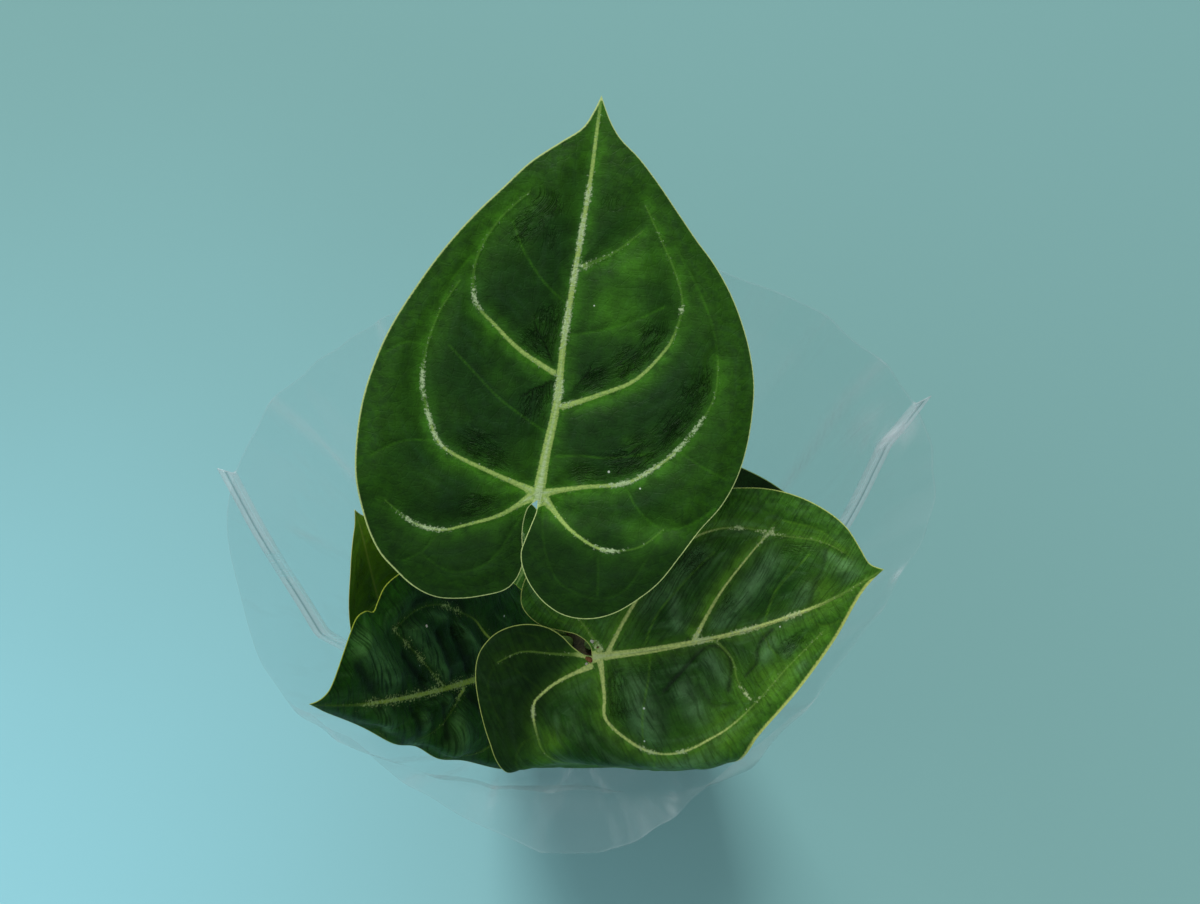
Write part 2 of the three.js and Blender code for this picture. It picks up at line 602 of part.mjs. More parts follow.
// The sleeve: rings of radii at equal azimuths from +X, at named heights. The film hangs
// straight from the pot's rim to the level of the leaves, then flares to its cut edge.
const SLEEVE_RINGS = [
  { z: SLEEVE_BOTTOM, radii: [48] },
  { z: 60, radii: [52.5] },
  { z: POT_HEIGHT - RIM_BAND, radii: [FILM_REST] },
  { z: POT_HEIGHT, radii: [FILM_REST] },
  {
    z: 140,
    radii: [66, 66, 65, 65, 64, 64, 64, 64, 66, 68, 70, 71, 69, 69, 70, 70, 68, 66, 65, 65, 65, 66, 66, 66],
  },
  {
    z: 185,
    radii: [76, 76, 75, 74, 73, 72, 72, 72, 73, 75, 78, 80, 81, 83, 87, 87, 82, 77, 75, 75, 76, 76, 76, 76],
  },
  {
    z: 230,
    radii: [90, 89, 87, 84, 81, 79, 78, 78, 80, 84, 88, 92, 94, 96, 99, 99, 91, 86, 83, 85, 88, 88, 87, 89],
  },
  {
    z: 275,
    radii: [
      103, 101, 96, 91, 84, 80, 79, 79, 82, 87, 93, 99,
      104, 103, 108, 104, 94, 89, 86, 90, 98.5, 98.5, 95, 98,
    ],
  },
  {
    z: 300,
    radii: [
      110, 108, 102, 96, 89, 84, 82, 82, 85, 90, 97, 104,
      110, 110, 113, 106, 98, 96, 98, 97, 99.5, 99, 99.5, 104.5,
    ],
  },
  {
    z: SLEEVE_TOP,
    radii: [
      119, 121, 113, 105, 96.5, 90, 86, 86.5, 88.5, 93, 101.5, 110,
      115, 113, 113, 105, 104, 107.5, 114, 106, 99, 98.5, 101, 107.5,
    ],
  },
];

// The two welded seams climb the sleeve: height and azimuth.
const SEAM_LEFT = [
  [SLEEVE_BOTTOM, 203], [POT_HEIGHT, 203], [165, 200], [230, 195], [285, 181], [SLEEVE_TOP, 174],
];
const SEAM_RIGHT = [
  [SLEEVE_BOTTOM, -8], [POT_HEIGHT, -8], [165, -4], [230, 2], [285, 12], [SLEEVE_TOP, 17.5],
];

function seamAzimuth(seam, height) {
  const above = Math.max(1, seam.findIndex(([z]) => z >= height));
  const [low, high] = [seam[above - 1], seam[above]];
  return lerp(low[1], high[1], (height - low[0]) / (high[0] - low[0]));
}

function ringRadius(radii, azimuth) {
  const n = radii.length;
  const place = THREE.MathUtils.euclideanModulo(azimuth / 360, 1) * n;
  const k = Math.floor(place);
  const t = place - k;
  const [a, b, c, d] = [-1, 0, 1, 2].map((step) => radii[(k + step + n) % n]);
  return b + 0.5 * t * (c - a + t * (2 * a - 5 * b + 4 * c - d + t * (3 * (b - c) + d - a)));
}

function sleeveGeometry() {
  const vertices = [];
  const triangles = [];
  const loops = SLEEVE_RINGS.flatMap(({ z, radii }) => {
    const right = seamAzimuth(SEAM_RIGHT, z);
    const left = seamAzimuth(SEAM_LEFT, z);
    const outer = [];
    const inner = [];
    const spans = [[right, left], [left, right + 360]];
    for (const [from, to] of spans) {
      for (let k = 0; k <= FILM_STEPS; k += 1) {
        const azimuth = lerp(from, to, k / FILM_STEPS);
        const radius = ringRadius(radii, azimuth);
        const seamEnd = k === 0 || k === FILM_STEPS;
        const away = k === 0 ? SEAM_HALF : -SEAM_HALF;
        const angle = rad(azimuth) + (seamEnd ? away / radius : 0);
        const out = radius + (seamEnd ? SEAM_REACH : 0);
        const within = radius - FILM;
        const top = z === SLEEVE_TOP && seamEnd ? z + SEAM_TIP : z;
        outer.push(new THREE.Vector3(out * Math.cos(angle), out * Math.sin(angle), top));
        inner.push(new THREE.Vector3(within * Math.cos(angle), within * Math.sin(angle), z));
      }
    }
    return [{ outer, inner }];
  });
  const count = loops[0].outer.length;
  loops.forEach(({ outer, inner }) => vertices.push(...outer, ...inner));
  const at = (level, side, k) => level * 2 * count + side * count + (k % count);
  const quad = (a, b, c, d) => triangles.push([a, b, c], [a, c, d]);
  const last = loops.length - 1;
  for (let k = 0; k < count; k += 1) {
    for (let level = 0; level < last; level += 1) {
      quad(at(level, 0, k), at(level, 0, k + 1), at(level + 1, 0, k + 1), at(level + 1, 0, k));
      quad(at(level, 1, k), at(level + 1, 1, k), at(level + 1, 1, k + 1), at(level, 1, k + 1));
    }
    quad(at(0, 0, k), at(0, 1, k), at(0, 1, k + 1), at(0, 0, k + 1));
    quad(at(last, 0, k), at(last, 0, k + 1), at(last, 1, k + 1), at(last, 1, k));
  }
  return indexed(vertices, triangles);
}

const group = new THREE.Group();

function addPiece(name, geometry, colour, roughness, options = {}) {
  const material = new THREE.MeshStandardMaterial({ color: colour, roughness, metalness: 0, ...options });
  const mesh = new THREE.Mesh(geometry, material);
  mesh.name = name;
  group.add(mesh);
  return mesh;
}

addPiece('pot', potGeometry(), 0x2b2c2b, 0.55);
addPiece('soil', soilGeometry(), 0x3a281b, 0.95);
addPiece('crown', crownGeometry(), 0x7a6a45, 0.8);
for (const leaf of LEAVES) {
  const blade = addPiece(`${leaf.name}_blade`, bladeGeometry(leaf), 0x1f4d20, 0.5);
  blade.setRotationFromMatrix(leafBasis(leaf));
  blade.position.set(...leaf.at);
  addPiece(`${leaf.name}_petiole`, stalk(leaf), 0x5c7f35, 0.5);
}
addPiece('sleeve', sleeveGeometry(), 0xeef6f7, 0.08, { transparent: true, opacity: 0.2 });

export default group;
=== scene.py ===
"""A potted velvet-leaved anthurium in its clear film sleeve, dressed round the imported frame.

The blades, stalks, crown, mix, pot and sleeve follow the solids' own curves and formulas, in
millimetres, and are turned to metres when a mesh is made.
"""

import math

import bmesh
import bpy
import numpy as np
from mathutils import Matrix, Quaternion, Vector, geometry, noise
from mathutils.bvhtree import BVHTree


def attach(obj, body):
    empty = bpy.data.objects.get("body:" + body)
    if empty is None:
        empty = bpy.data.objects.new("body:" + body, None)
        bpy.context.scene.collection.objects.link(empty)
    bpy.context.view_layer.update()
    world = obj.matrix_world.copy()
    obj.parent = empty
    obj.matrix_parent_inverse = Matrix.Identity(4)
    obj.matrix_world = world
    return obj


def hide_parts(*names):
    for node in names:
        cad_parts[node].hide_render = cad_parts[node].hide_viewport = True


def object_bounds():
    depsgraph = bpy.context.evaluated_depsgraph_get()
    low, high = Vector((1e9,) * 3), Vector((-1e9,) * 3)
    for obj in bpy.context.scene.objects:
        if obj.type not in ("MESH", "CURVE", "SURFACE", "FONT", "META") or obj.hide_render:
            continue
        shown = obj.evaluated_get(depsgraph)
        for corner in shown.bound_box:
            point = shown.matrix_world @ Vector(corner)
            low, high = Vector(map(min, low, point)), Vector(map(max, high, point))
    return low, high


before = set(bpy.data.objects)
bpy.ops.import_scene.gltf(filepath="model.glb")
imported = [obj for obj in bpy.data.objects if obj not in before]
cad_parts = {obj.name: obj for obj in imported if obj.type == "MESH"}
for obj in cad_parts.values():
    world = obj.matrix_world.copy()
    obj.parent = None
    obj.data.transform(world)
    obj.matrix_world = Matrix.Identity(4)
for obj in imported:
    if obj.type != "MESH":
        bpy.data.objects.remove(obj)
cad_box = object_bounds()

MM = 0.001

# The solids' driving dimensions.
GAP = 0.3
SLEEVE_BOTTOM = 20
SLEEVE_TOP = 320
POT_HEIGHT = 98
POT_BASE_RADIUS = 39
POT_RIM_RADIUS = 55
POT_WALL = 1.5
POT_FLOOR = 2
RIM_BAND = 12
RIM_STEP = 3
DRAIN_HOLES = 8
DRAIN_RADIUS = 4
DRAIN_RING = 28
SOIL_TOP = 88
CROWN_RADIUS = 12
CROWN_BOTTOM = 72
CROWN_SEAT = 106
CROWN_RING = 8
COLLAR_HEIGHT = 7
BLADE_THICKNESS = 0.8
RIB_DEPTH = 0.9
RIDGE_HEIGHT = 0.5
STALK_BASE_RADIUS = 2.5
STALK_TOP_RADIUS = 1.8
KNEE_RADIUS = 2.5
KNEE_LENGTH = 10
SETTLE = 0.15
JOINT = (0.2, 3.4)
LOBE_LIFT = {"left": -0.8, "right": 3.2}
SOLID_FILM = 0.7
FILM_EASE = 0.25
FILM_REST = POT_RIM_RADIUS + GAP + SOLID_FILM + FILM_EASE

# The look of the leaves' skin: how wide and how pale the veins are, how thick a blade is, the
# step along a vein, and the length to which the sizes on a blade are set.
MIDRIB_HALF = 1.45
MIDRIB_PALE = 0.98
VEIN_HALF = 0.7
FAINT = 0.22
SKIN_THICKNESS = 0.5
VEIN_STEP = 1.5
LARGE_LENGTH = 132

# How many sides each round thing has, how far the floor reaches in millimetres, and the height
# in metres at which the lamps aim.
POT_SIDES = 144
HOLE_SIDES = 20
CROWN_SIDES = 120
STALK_SIDES = 24
FLOOR_REACH = 15000
LAMP_AIM = 0.25


# Leaf outlines and veins, in the plane of the blade: x across to the right, y towards the
# tip, origin where the stalk joins. Each margin runs from the stalk round its lobe.
# Twigs are the finer veins between the main ones, and crust the places where a vein has
# a pale scurfy skin: x, y and radius.
LARGE = {
    "length": 132,
    "margin": {
        "left": [
            (0, 0), (-2.6, -3), (-3.4, -8), (-3, -13), (-1.6, -20), (-2.6, -26), (-6, -30.5), (-13, -33.5),
            (-20, -35.4), (-27.6, -36), (-35, -33.8), (-42, -29.2), (-48.1, -23.9), (-53.7, -15),
            (-58.7, -2), (-60.5, 11.6), (-60.4, 24.7), (-58.2, 38), (-54.6, 49.9), (-48.3, 63.9),
            (-41.8, 76.3), (-34.2, 88.3), (-26.6, 98.4), (-19.3, 107.8), (-10.8, 115.7), (-4.6, 121.4),
            (-1.8, 127.4), (0, 133.4),
        ],
        "right": [
            (0, 0), (0.2, -3.5), (-0.8, -8.3), (-2, -13.5), (-2.6, -17.5), (-1.4, -22), (2, -27.4),
            (7.7, -32.4), (14.7, -35.2), (22.8, -34.9), (30.4, -31.7), (37.6, -25.7), (43.2, -19.3),
            (48.3, -10.3), (53.4, -1.3), (59.1, 7.7), (62.7, 18.1), (64.1, 29.7), (63.7, 42.7),
            (61.9, 52.2), (57.9, 63), (51.8, 74.4), (44.8, 83.7), (37.8, 90.8), (31.2, 97.9), (23.3, 106.4),
            (15.6, 114), (8.8, 119.4), (5, 124), (2, 129.2), (0, 133.4),
        ],
    },
    "midrib": [
        (0, 0), (0.3, 14.7), (1.3, 32.8), (0.4, 52), (0.6, 84.9), (0.8, 104.5), (0.4, 120), (0, 133.4),
    ],
    "veins": {
        "left": [
            [(-2.4, 0.6), (-11, -6.6), (-21.7, -11.6), (-29.4, -14.4), (-38.7, -13.3), (-48.4, -7.6)],
            [
                (-2.7, 2.8), (-16.4, 6.5), (-28.4, 10.2), (-34.8, 14.1), (-39.5, 23.1), (-42.6, 32.4),
                (-42.8, 43.8), (-40.4, 55.6), (-35.6, 66.1),
            ],
            [
                (-1.3, 41.5), (-13, 46.9), (-22.2, 53.6), (-29.8, 60.5), (-31.5, 73.5), (-26.5, 87.2),
                (-17.8, 98.3),
            ],
        ],
        "right": [
            [(2.4, 0.6), (11.2, -7.3), (21.6, -12.2), (29.4, -11.8), (35.9, -9), (41.6, -3)],
            [
                (1.7, 2.6), (13.4, 6.2), (26.9, 9.6), (35.5, 15.8), (42.2, 23), (48.4, 33.6), (51.3, 42.7),
                (50.5, 53.1),
            ],
            [
                (3.2, 30.9), (15.9, 37.4), (25, 43), (31.9, 51.9), (35.3, 59.3), (36.4, 69.5), (33.2, 78.2),
                (27.1, 88.2), (20, 99),
            ],
            [(3.2, 77.1), (12.3, 83.1), (20.1, 91.2)],
        ],
    },
    "pale": {"left": [0.8, 0.5, 0.42], "right": [0.62, 0.62, 0.5, 0.02]},
    "twigs": {
        "left": [
            [(-0.6, 22), (-9, 26), (-18, 31), (-27, 38), (-36, 45)],
            [(-0.2, 64), (-9, 70), (-17, 79), (-22, 88)],
            [(-2, -2), (-6.5, -11), (-10, -19), (-16, -25), (-25, -27), (-34, -23)],
            [(-34.8, 14.1), (-46, 12), (-55, 6)], [(-42.8, 43.8), (-49, 44), (-55, 40)],
            [(-40.4, 55.6), (-38, 66), (-31, 78)], [(-29.4, -14.4), (-34, -22), (-40, -26)],
        ],
        "right": [
            [(0.9, 14), (10, 16), (21, 17), (32, 20)], [(0.8, 54), (11, 57), (22, 62), (31, 68)],
            [(26.9, 9.6), (33, 1.5), (41.6, -3), (50, 0), (57, 6)],
            [(2, -2), (3.6, -11), (7, -20), (13, -26), (24, -28), (33, -23), (41.6, -3)],
            [(42.2, 23), (50, 19), (59, 16)], [(50.5, 53.1), (47, 64), (40, 76), (31, 88)],
            [(21.6, -12.2), (23, -20), (24, -28)],
        ],
    },
    "crust": [
        (-30, 61, 4.5), (-42.4, 32, 6), (-38, 21, 6), (-35, 15, 5), (-33, -14.6, 6), (-39, -12.8, 4),
        (26, 9.4, 5), (34, 14.6, 6), (42, 23, 6), (47, 31, 4), (25, -12.2, 4), (36.4, 68, 1.5),
        (0.6, 88, 8), (0.5, 74, 6), (0.4, 58, 8), (1.2, 36, 5), (0.7, 100, 4), (7, -26, 3),
    ],
    "crumples": [
        (-8, 33, 9), (-16, 29, 7), (-20, 12, 9), (-8, 49, 7), (-4, 58, 6), (-15, 85, 8), (-12, 95, 5),
        (8, 99, 4), (17, 69, 5), (12, 41, 6), (24, 45.5, 8), (32, 56, 8), (48, 42, 9), (41, 29, 8),
        (28, 18, 8), (15, 9, 6), (-19, -4.5, 6),
    ],
    "fresh": [(15, 65, 10), (19, 79, 7), (33, -6, 6)],
}

BROAD = {
    "length": 105,
    "margin": {
        "left": [
            (0, 0), (-3, 0.6), (-6, -0.6), (-9, -3.4), (-11.6, -8), (-15, -13.6), (-20, -17.2), (-25, -18),
            (-31, -15), (-37.5, -8), (-43, 3), (-46, 18), (-46.4, 33), (-44.6, 48), (-41, 63), (-37, 75),
            (-31, 84.6), (-23.6, 92), (-16.5, 96.4), (-9, 98.4), (-3.2, 99.8), (0, 103.6),
        ],
        "right": [
            (0, 0), (-1.6, -2.6), (-5, -4.6), (-10, -6.8), (-14.8, -11.4), (-17.8, -18.4), (-18.2, -26),
            (-16.2, -32), (-12, -37), (-5, -40.2), (6, -42), (18, -42.4), (30, -40.6), (42, -35),
            (50.4, -26), (56, -12), (58.4, 2), (57.6, 16), (54.4, 27), (48.6, 37), (41, 47), (30, 64.6),
            (18, 80.6), (7, 92.4), (2.6, 98.4), (0, 103.6),
        ],
    },
    "midrib": [(0, 0), (3, 17), (5, 34), (6.2, 51), (6, 69), (4.6, 84), (1.6, 97), (0, 103.6)],
    "midrib_pale": 0.79,
    "veins": {
        "left": [
            [(-1.6, 3.4), (-10, 1), (-20, -3), (-29, -5)],
            [
                (0.6, 5.4), (-8, 14), (-14.6, 22), (-22, 33), (-27.6, 43), (-29, 54), (-26.6, 64),
                (-21, 74), (-15, 86.5), (-9, 93),
            ],
            [(4, 36), (-8, 49), (-18, 63.5), (-23.5, 73)],
        ],
        "right": [
            [(-1.4, -2), (-5.6, -12.6), (-9, -22), (-8, -31)],
            [(3, -1.6), (4.2, -12), (6.4, -19), (10, -24), (20, -26.4), (27, -26), (38, -19), (45, -10)],
            [
                (2.4, 2.4), (14, 0), (21.4, -2), (30, 3), (36.6, 11), (38.6, 21), (36.4, 36), (30.4, 49),
                (22, 63), (14, 78),
            ],
            [(5.6, 42), (14, 46), (22, 45.6), (28.5, 47.8)],
        ],
    },
    "pale": {"left": [0.05, 0.6, 0.95], "right": [0.12, 0.5, 0.66, 0.02]},
    "twigs": {
        "left": [
            [(2.6, 18), (-7, 26), (-16, 40), (-22, 52)], [(6, 60), (-4, 68), (-12, 82)],
            [(-22, 33), (-32, 34), (-41, 30)], [(-10, 1), (-15, -7), (-24, -11)],
            [(-29, 54), (-35, 58), (-39, 64)], [(-25.5, 76.5), (-18, 88), (-6, 95)],
        ],
        "right": [
            [(3.4, 20), (12, 17), (22, 12), (33, 8)], [(6.2, 58), (14, 60), (22, 63)],
            [(6.4, -19), (-3, -25), (-8, -31), (0, -37), (14, -36)], [(20, -26.4), (22, -34), (30, -38)],
            [(36.6, 11), (46, 6), (54, 8)], [(36.4, 36), (43, 36), (49, 33)], [(6, 74), (12, 78), (12, 86)],
            [(-5.6, -12.6), (-12, -15), (-16, -22)],
        ],
    },
    "crust": [
        (-22, 71, 4), (-27, 62, 2.5), (26.5, 47, 3), (38, 20, 2), (36, 9, 3), (12, -25, 2.5), (6.2, 54, 5),
        (6, 70, 4), (5, 38, 4), (-3, 4, 2.5), (33, 8, 2),
    ],
    "fresh": [(34, 36, 7), (23, 57, 7), (1, 82, 6), (23, -22, 4)],
    "crumples": [(9, 5, 7), (8, 18, 7), (20, 3, 6), (17, 68, 6), (-21, 44, 6), (-17, 80, 6), (-6, 50, 5)],
    "pillows": [
        ((-13, 22), (-23, 47), 4, 0.9), ((2, 45), (-14, 69), 4, 1), ((-12, 34), (-2, 32), 2.4, 0.6),
        ((14, 11), (32, 11), 5.5, 0.9), ((11, 38.7), (20, 42), 3, 1.3), ((20, 27), (29, 30), 4, 0.8),
        ((13, 60), (16, 57), 3, 1.2), ((16, 65), (22, 67), 3, 0.7), ((-11, 90), (-1, 93), 4, 0.5),
        ((4, 72), (-1, 78), 2.5, 0.6), ((41, 11), (44, 29), 4, 0.4),
    ],
    "grooves": [
        ([(17.7, 21), (13, 28.8), (9, 36), (7.8, 41), (11.4, 45), (16.3, 45), (23.7, 41.8)], 0.8, 0.7),
        ([(19, 33), (23.7, 34.4), (27, 35.3), (28.5, 42.7)], 0.7, 0.45),
        ([(8.7, 61.8), (11, 57.6), (13.7, 55.3), (17.5, 53.7), (20.6, 49)], 0.8, 0.7),
        ([(-11.8, 87.5), (-6.5, 84.8), (-1, 80), (4.7, 76)], 0.8, 0.5),
        ([(17, 1.5), (11, 2.8), (7.6, 5.4), (7, 9)], 0.8, 0.5),
        ([(-26, 48), (-26.4, 58), (-25.5, 65)], 0.6, 0.4),
        ([(-20, 70), (-19.6, 77), (-17.8, 82)], 0.6, 0.4),
    ],
}

CRUMPLED = {
    "length": 121,
    "margin": {
        "left": [
            (0, 0), (-2.4, -3), (-4, -9), (-7, -16), (-13, -21.6), (-22, -22.6), (-30, -17), (-35, -5),
            (-37.4, 10), (-35, 28), (-30.6, 45), (-25.4, 61), (-19.6, 78), (-13, 95), (-7, 108.6),
            (-2.6, 116.4), (0, 121),
        ],
        "right": [
            (0, 0), (1.6, -4), (4, -10), (9, -14), (17, -13.4), (26, -8), (33, 2), (39, 16), (43.6, 34),
            (46.2, 52), (45.6, 68), (42.6, 79), (38.6, 86.4), (33.4, 90), (30.2, 92.4), (30.8, 97),
            (28.4, 103), (19, 109.4), (9, 114.6), (3, 118.4), (0, 121),
        ],
    },
    "midrib": [(0, 0), (-1, 26), (-2, 49), (-2.2, 73), (-1.4, 96), (-0.6, 110), (0, 121)],
    "midrib_pale": 0.8,
    "veins": {
        "left": [
            [(-2, -1), (-10, -7), (-19, -10), (-27, -6)],
            [(-2.4, 2.6), (-14, 9), (-25, 19), (-31, 33), (-30, 50), (-24, 66), (-16, 82)],
            [(-3.4, 36), (-12, 47), (-19, 60)],
        ],
        "right": [
            [
                (2.4, 2.6), (9, 11), (15, 21), (21.2, 29.4), (25.3, 40), (28.5, 50), (29.6, 60), (28, 70),
                (23, 80),
            ],
            [(-2.6, 47), (10.9, 64), (16.4, 72), (22.8, 80.5)],
        ],
    },
    "pale": {"left": [0.3, 0.3, 0.2], "right": [0.4, 0.04]},
    "twigs": {
        "left": [[(-2, 60), (-9, 70), (-14, 80)], [(-31, 33), (-34, 38)], [(-1.6, 84), (-6, 94)]],
        "right": [[(-2, 66), (9, 80), (19, 95)], [(33.4, 55), (40, 60), (43, 68)], [(-1.4, 92), (9, 104)]],
    },
    "crust": [
        (11, 64, 4), (17, 73, 3), (23, 81, 3.5), (-2, 55, 7), (-2, 68, 8), (-2, 80, 7), (-1.6, 92, 5),
        (28.5, 50, 4), (26, 42, 3), (-1.6, 40, 6), (-1, 26, 6),
    ],
    "fresh": [],
    "crumples": [(-4, 62, 8), (4, 62, 7), (-3, 40, 8), (20, 44, 7)],
    "pillows": [
        ((20, 102), (5, 83), 5.5, 2), ((26, 78), (4, 50), 5, 2.2), ((21, 43), (9, 30), 3, 1.8),
        ((-4, 86), (-16, 77), 3.2, 1.7), ((-7, 47), (-29, 37.5), 4.4, 1.9),
        ((-10, 63.5), (-13, 61), 2.2, 1.1), ((-9, 20), (-15, 15), 3, 1.3), ((28, 63), (24.7, 52), 2.4, 1.1),
        ((-20, 60), (-26, 56), 3, 0.9),
    ],
    "grooves": [
        ([(13.3, 105), (2.2, 92)], 2, 0.9), ([(13.8, 75.5), (-1, 60.6)], 1.8, 1),
        ([(19.8, 57), (2.4, 45)], 1.8, 1.3), ([(19.5, 46.5), (3, 33)], 2.2, 1.6),
        ([(-7, 51.6), (-19, 47.6)], 1.6, 0.9), ([(-6.6, 33.6), (-15.5, 24)], 2, 1.2),
        ([(-6.5, 70), (-17, 61.5)], 1.6, 0.9), ([(27, 38), (32, 50), (33, 60), (31, 70)], 2, 1.2),
    ],
}


def resized(outline, length, width_factor):
    """The large outline at another length and width, for the leaves that are mostly hidden."""
    along = length / outline["length"]
    across = along * width_factor

    def line(points):
        return [(x * across, y * along) for x, y in points]

    def lines(name, most):
        return {side: [line(vein) for vein in veins[:most]] for side, veins in outline[name].items()}

    def spots(name):
        return [(x * across, y * along, radius * along) for x, y, radius in outline[name]]

    return {
        "length": length, "pale": outline["pale"], "fresh": [], "midrib": line(outline["midrib"]),
        "margin": {side: line(margin) for side, margin in outline["margin"].items()},
        "veins": lines("veins", 3), "twigs": lines("twigs", 7),
        "crust": spots("crust"), "crumples": spots("crumples"),
    }


def leaf_form(name, outline, at, azimuth, pitch, roll, **form):
    """A leaf's values: what most leaves share, unless its own say otherwise."""
    usual = {"lift": (0, -1), "waves": 5, "lean": 0.04, "bends": [], "edge": {}, "deep": {}, "grain": {}}
    stance = {"name": name, "outline": outline, "at": at, "azimuth": azimuth, "pitch": pitch, "roll": roll}
    return {**usual, **stance, **form}


# Each leaf: its place, turn and form as in the solids, then the look of its skin: the mesh
# step, and the depths of the wrinkles by its veins, its swollen panels and its cross folds.
# Some leaves also get painted shade on their lobes and a margin line widened as a painted highlight.
LEAVES = [
    leaf_form(
        "leaf_1", LARGE, (-11.6, -0.8, 334.8), 80.7, 15.8, -2.6,
        fold=0.1, quilt=1.7, wave=0.7, phase=0.6, ring=62, bends=[((0, 100), 90, 170, 12)],
        step=0.9, crumple=0.52, swell=0.3, silk=0, slot="large_blade",
        deep={"left": 0.6, "right": 0.75}, edge={"left": 0.8}),
    leaf_form(
        "leaf_2", BROAD, (5.9, -44.4, 290), 13.8, 17.7, -16,
        fold=0.06, quilt=1.9, wave=0.8, waves=6, phase=1.9, lift=(-0.7, -0.7), ring=300,
        bends=[((28, -5), -15.3, 8, 76)], step=0.9, crumple=0.6, swell=0.5, silk=0.1,
        slot="side_blade", deep={"right": 1}, edge={"right": 2.2}, grain={"left": -1.2, "right": 0.15}),
    leaf_form(
        "leaf_3", CRUMPLED, (-24.3, -33.1, 200), -152.9, 55.9, 29.5,
        fold=0.12, quilt=2.4, wave=1, waves=7, phase=0.3, ring=228, bends=[((-2, 84), 162.6, 8, 70)],
        step=0.9, crumple=0.5, swell=0.3, silk=0.15, slot="dark_blade", grain={"left": 0.7, "right": 0.7}),
    leaf_form(
        "leaf_4", resized(LARGE, 76, 0.85), (-71.2, -26.6, 224), 99, 64, -48,
        fold=0.5, quilt=1.2, wave=0.5, phase=2.4, ring=190, lean=0.12,
        step=1.2, crumple=0.1, swell=0.15, silk=0.1, slot="young_blade"),
    leaf_form(
        "leaf_5", resized(LARGE, 75, 1.1), (28.4, -4.3, 262), -3, 17, 12,
        fold=0.25, quilt=1.2, wave=0.7, phase=1.1, ring=8,
        step=1.3, crumple=0.2, swell=0.2, silk=0.1, slot="side_blade"),
    leaf_form(
        "leaf_6", resized(LARGE, 50, 1.15), (-22, 15, 160), 168, 12, 0,
        fold=0.2, quilt=0.9, wave=0.5, phase=0.2, ring=128,
        step=1.3, crumple=0.1, swell=0.15, silk=0, slot="young_blade"),
]


# Curves and distances in the plane of a blade.
def spline(points, per_span=24):
    """A smooth curve through given points, which keeps to its ends."""
    p = np.array(points, float)
    held = np.vstack([p[:1], p, p[-1:]])
    t = np.linspace(0, 1, per_span, endpoint=False)[:, None]
    spans = []
    for a, b, c, d in zip(held[:-3], held[1:-2], held[2:-1], held[3:]):
        leave, arrive = (c - a) / 2, (d - b) / 2
        cubic = 2 * b - 2 * c + leave + arrive
        square = 3 * c - 3 * b - 2 * leave - arrive
        spans.append(((cubic * t + square) * t + leave) * t + b)
    return np.vstack([*spans, p[-1:]])


def run_along(line):
    """How far along a line each of its points lies."""
    return np.r_[0, np.cumsum(np.linalg.norm(np.diff(line, axis=0), axis=1))]


def points_at(places, run, line):
    """The points of a line at some places along it."""
    return np.stack([np.interp(places, run, axis) for axis in line.T], axis=1)


def spaced(points, step):
    dense = spline(points)
    run = run_along(dense)
    return points_at(np.linspace(0, run[-1], max(3, round(run[-1] / step)) + 1), run, dense)


def nearest(points, line):
    """For each point, its distance to the line, and how far along the line that is, 0 to 1."""
    best = np.full(len(points), np.inf)
    along = np.zeros(len(points))
    run = run_along(line)
    for a, b, start, end in zip(line[:-1], line[1:], run[:-1], run[1:]):
        way = b - a
        share = np.clip((points - a) @ way / max(way @ way, 1e-12), 0, 1)
        gap = np.linalg.norm(points - a - share[:, None] * way, axis=1)
        closer = gap < best
        best = np.where(closer, gap, best)
        along = np.where(closer, (start + share * (end - start)) / run[-1], along)
    return best, along


def inside(points, loop):
    odd = np.zeros(len(points), bool)
    for a, b in zip(loop, np.roll(loop, -1, axis=0)):
        spans = (a[1] > points[:, 1]) != (b[1] > points[:, 1])
        rise = b[1] - a[1] if abs(b[1] - a[1]) > 1e-12 else 1e-12
        cross = a[0] + (points[:, 1] - a[1]) / rise * (b[0] - a[0])
        odd ^= spans & (points[:, 0] < cross)
    return odd


def sideways(line):
    """The unit direction to the left of a line, at each of its points."""
    along = np.gradient(line, axis=0)
    beside = np.stack([-along[:, 1], along[:, 0]], axis=1)
    return beside / np.linalg.norm(beside, axis=1)[:, None]


def smooth(value, low, high):
    t = np.clip((value - low) / (high - low), 0, 1)
    return t * t * (3 - 2 * t)


def bell(value, width):
    """1 at nought, falling away smoothly on both sides."""
    return np.exp(-((value / width) ** 2))


def bumps(points, spots):
    """How near each point is to the closest of some round spots: 1 at a centre, 0 far off."""
    near = [bell(np.hypot(points[:, 0] - x, points[:, 1] - y), radius) for x, y, radius in spots]
    return np.max([np.zeros(len(points)), *near], axis=0)


def wander(points, scale, seed, octaves=2):
    """Smooth random heights, about -1 to 1, over points in a plane."""
    return np.array([
        noise.fractal(Vector((x / scale, y / scale, seed * 7.3)), 1.0, 2.0, octaves) for x, y in points
    ])


def thinned(points, clear):
    """Drops each point that lies within clear of one that is kept, the first first."""
    kept, cells = [], {}
    for i, (x, y) in enumerate(points):
        column, row = int(x // clear), int(y // clear)
        near = (j for k in range(9) for j in cells.get((column + k // 3 - 1, row + k % 3 - 1), ()))
        if all(math.hypot(points[j][0] - x, points[j][1] - y) >= clear for j in near):
            kept.append(i)
            cells.setdefault((column, row), []).append(i)
    return kept


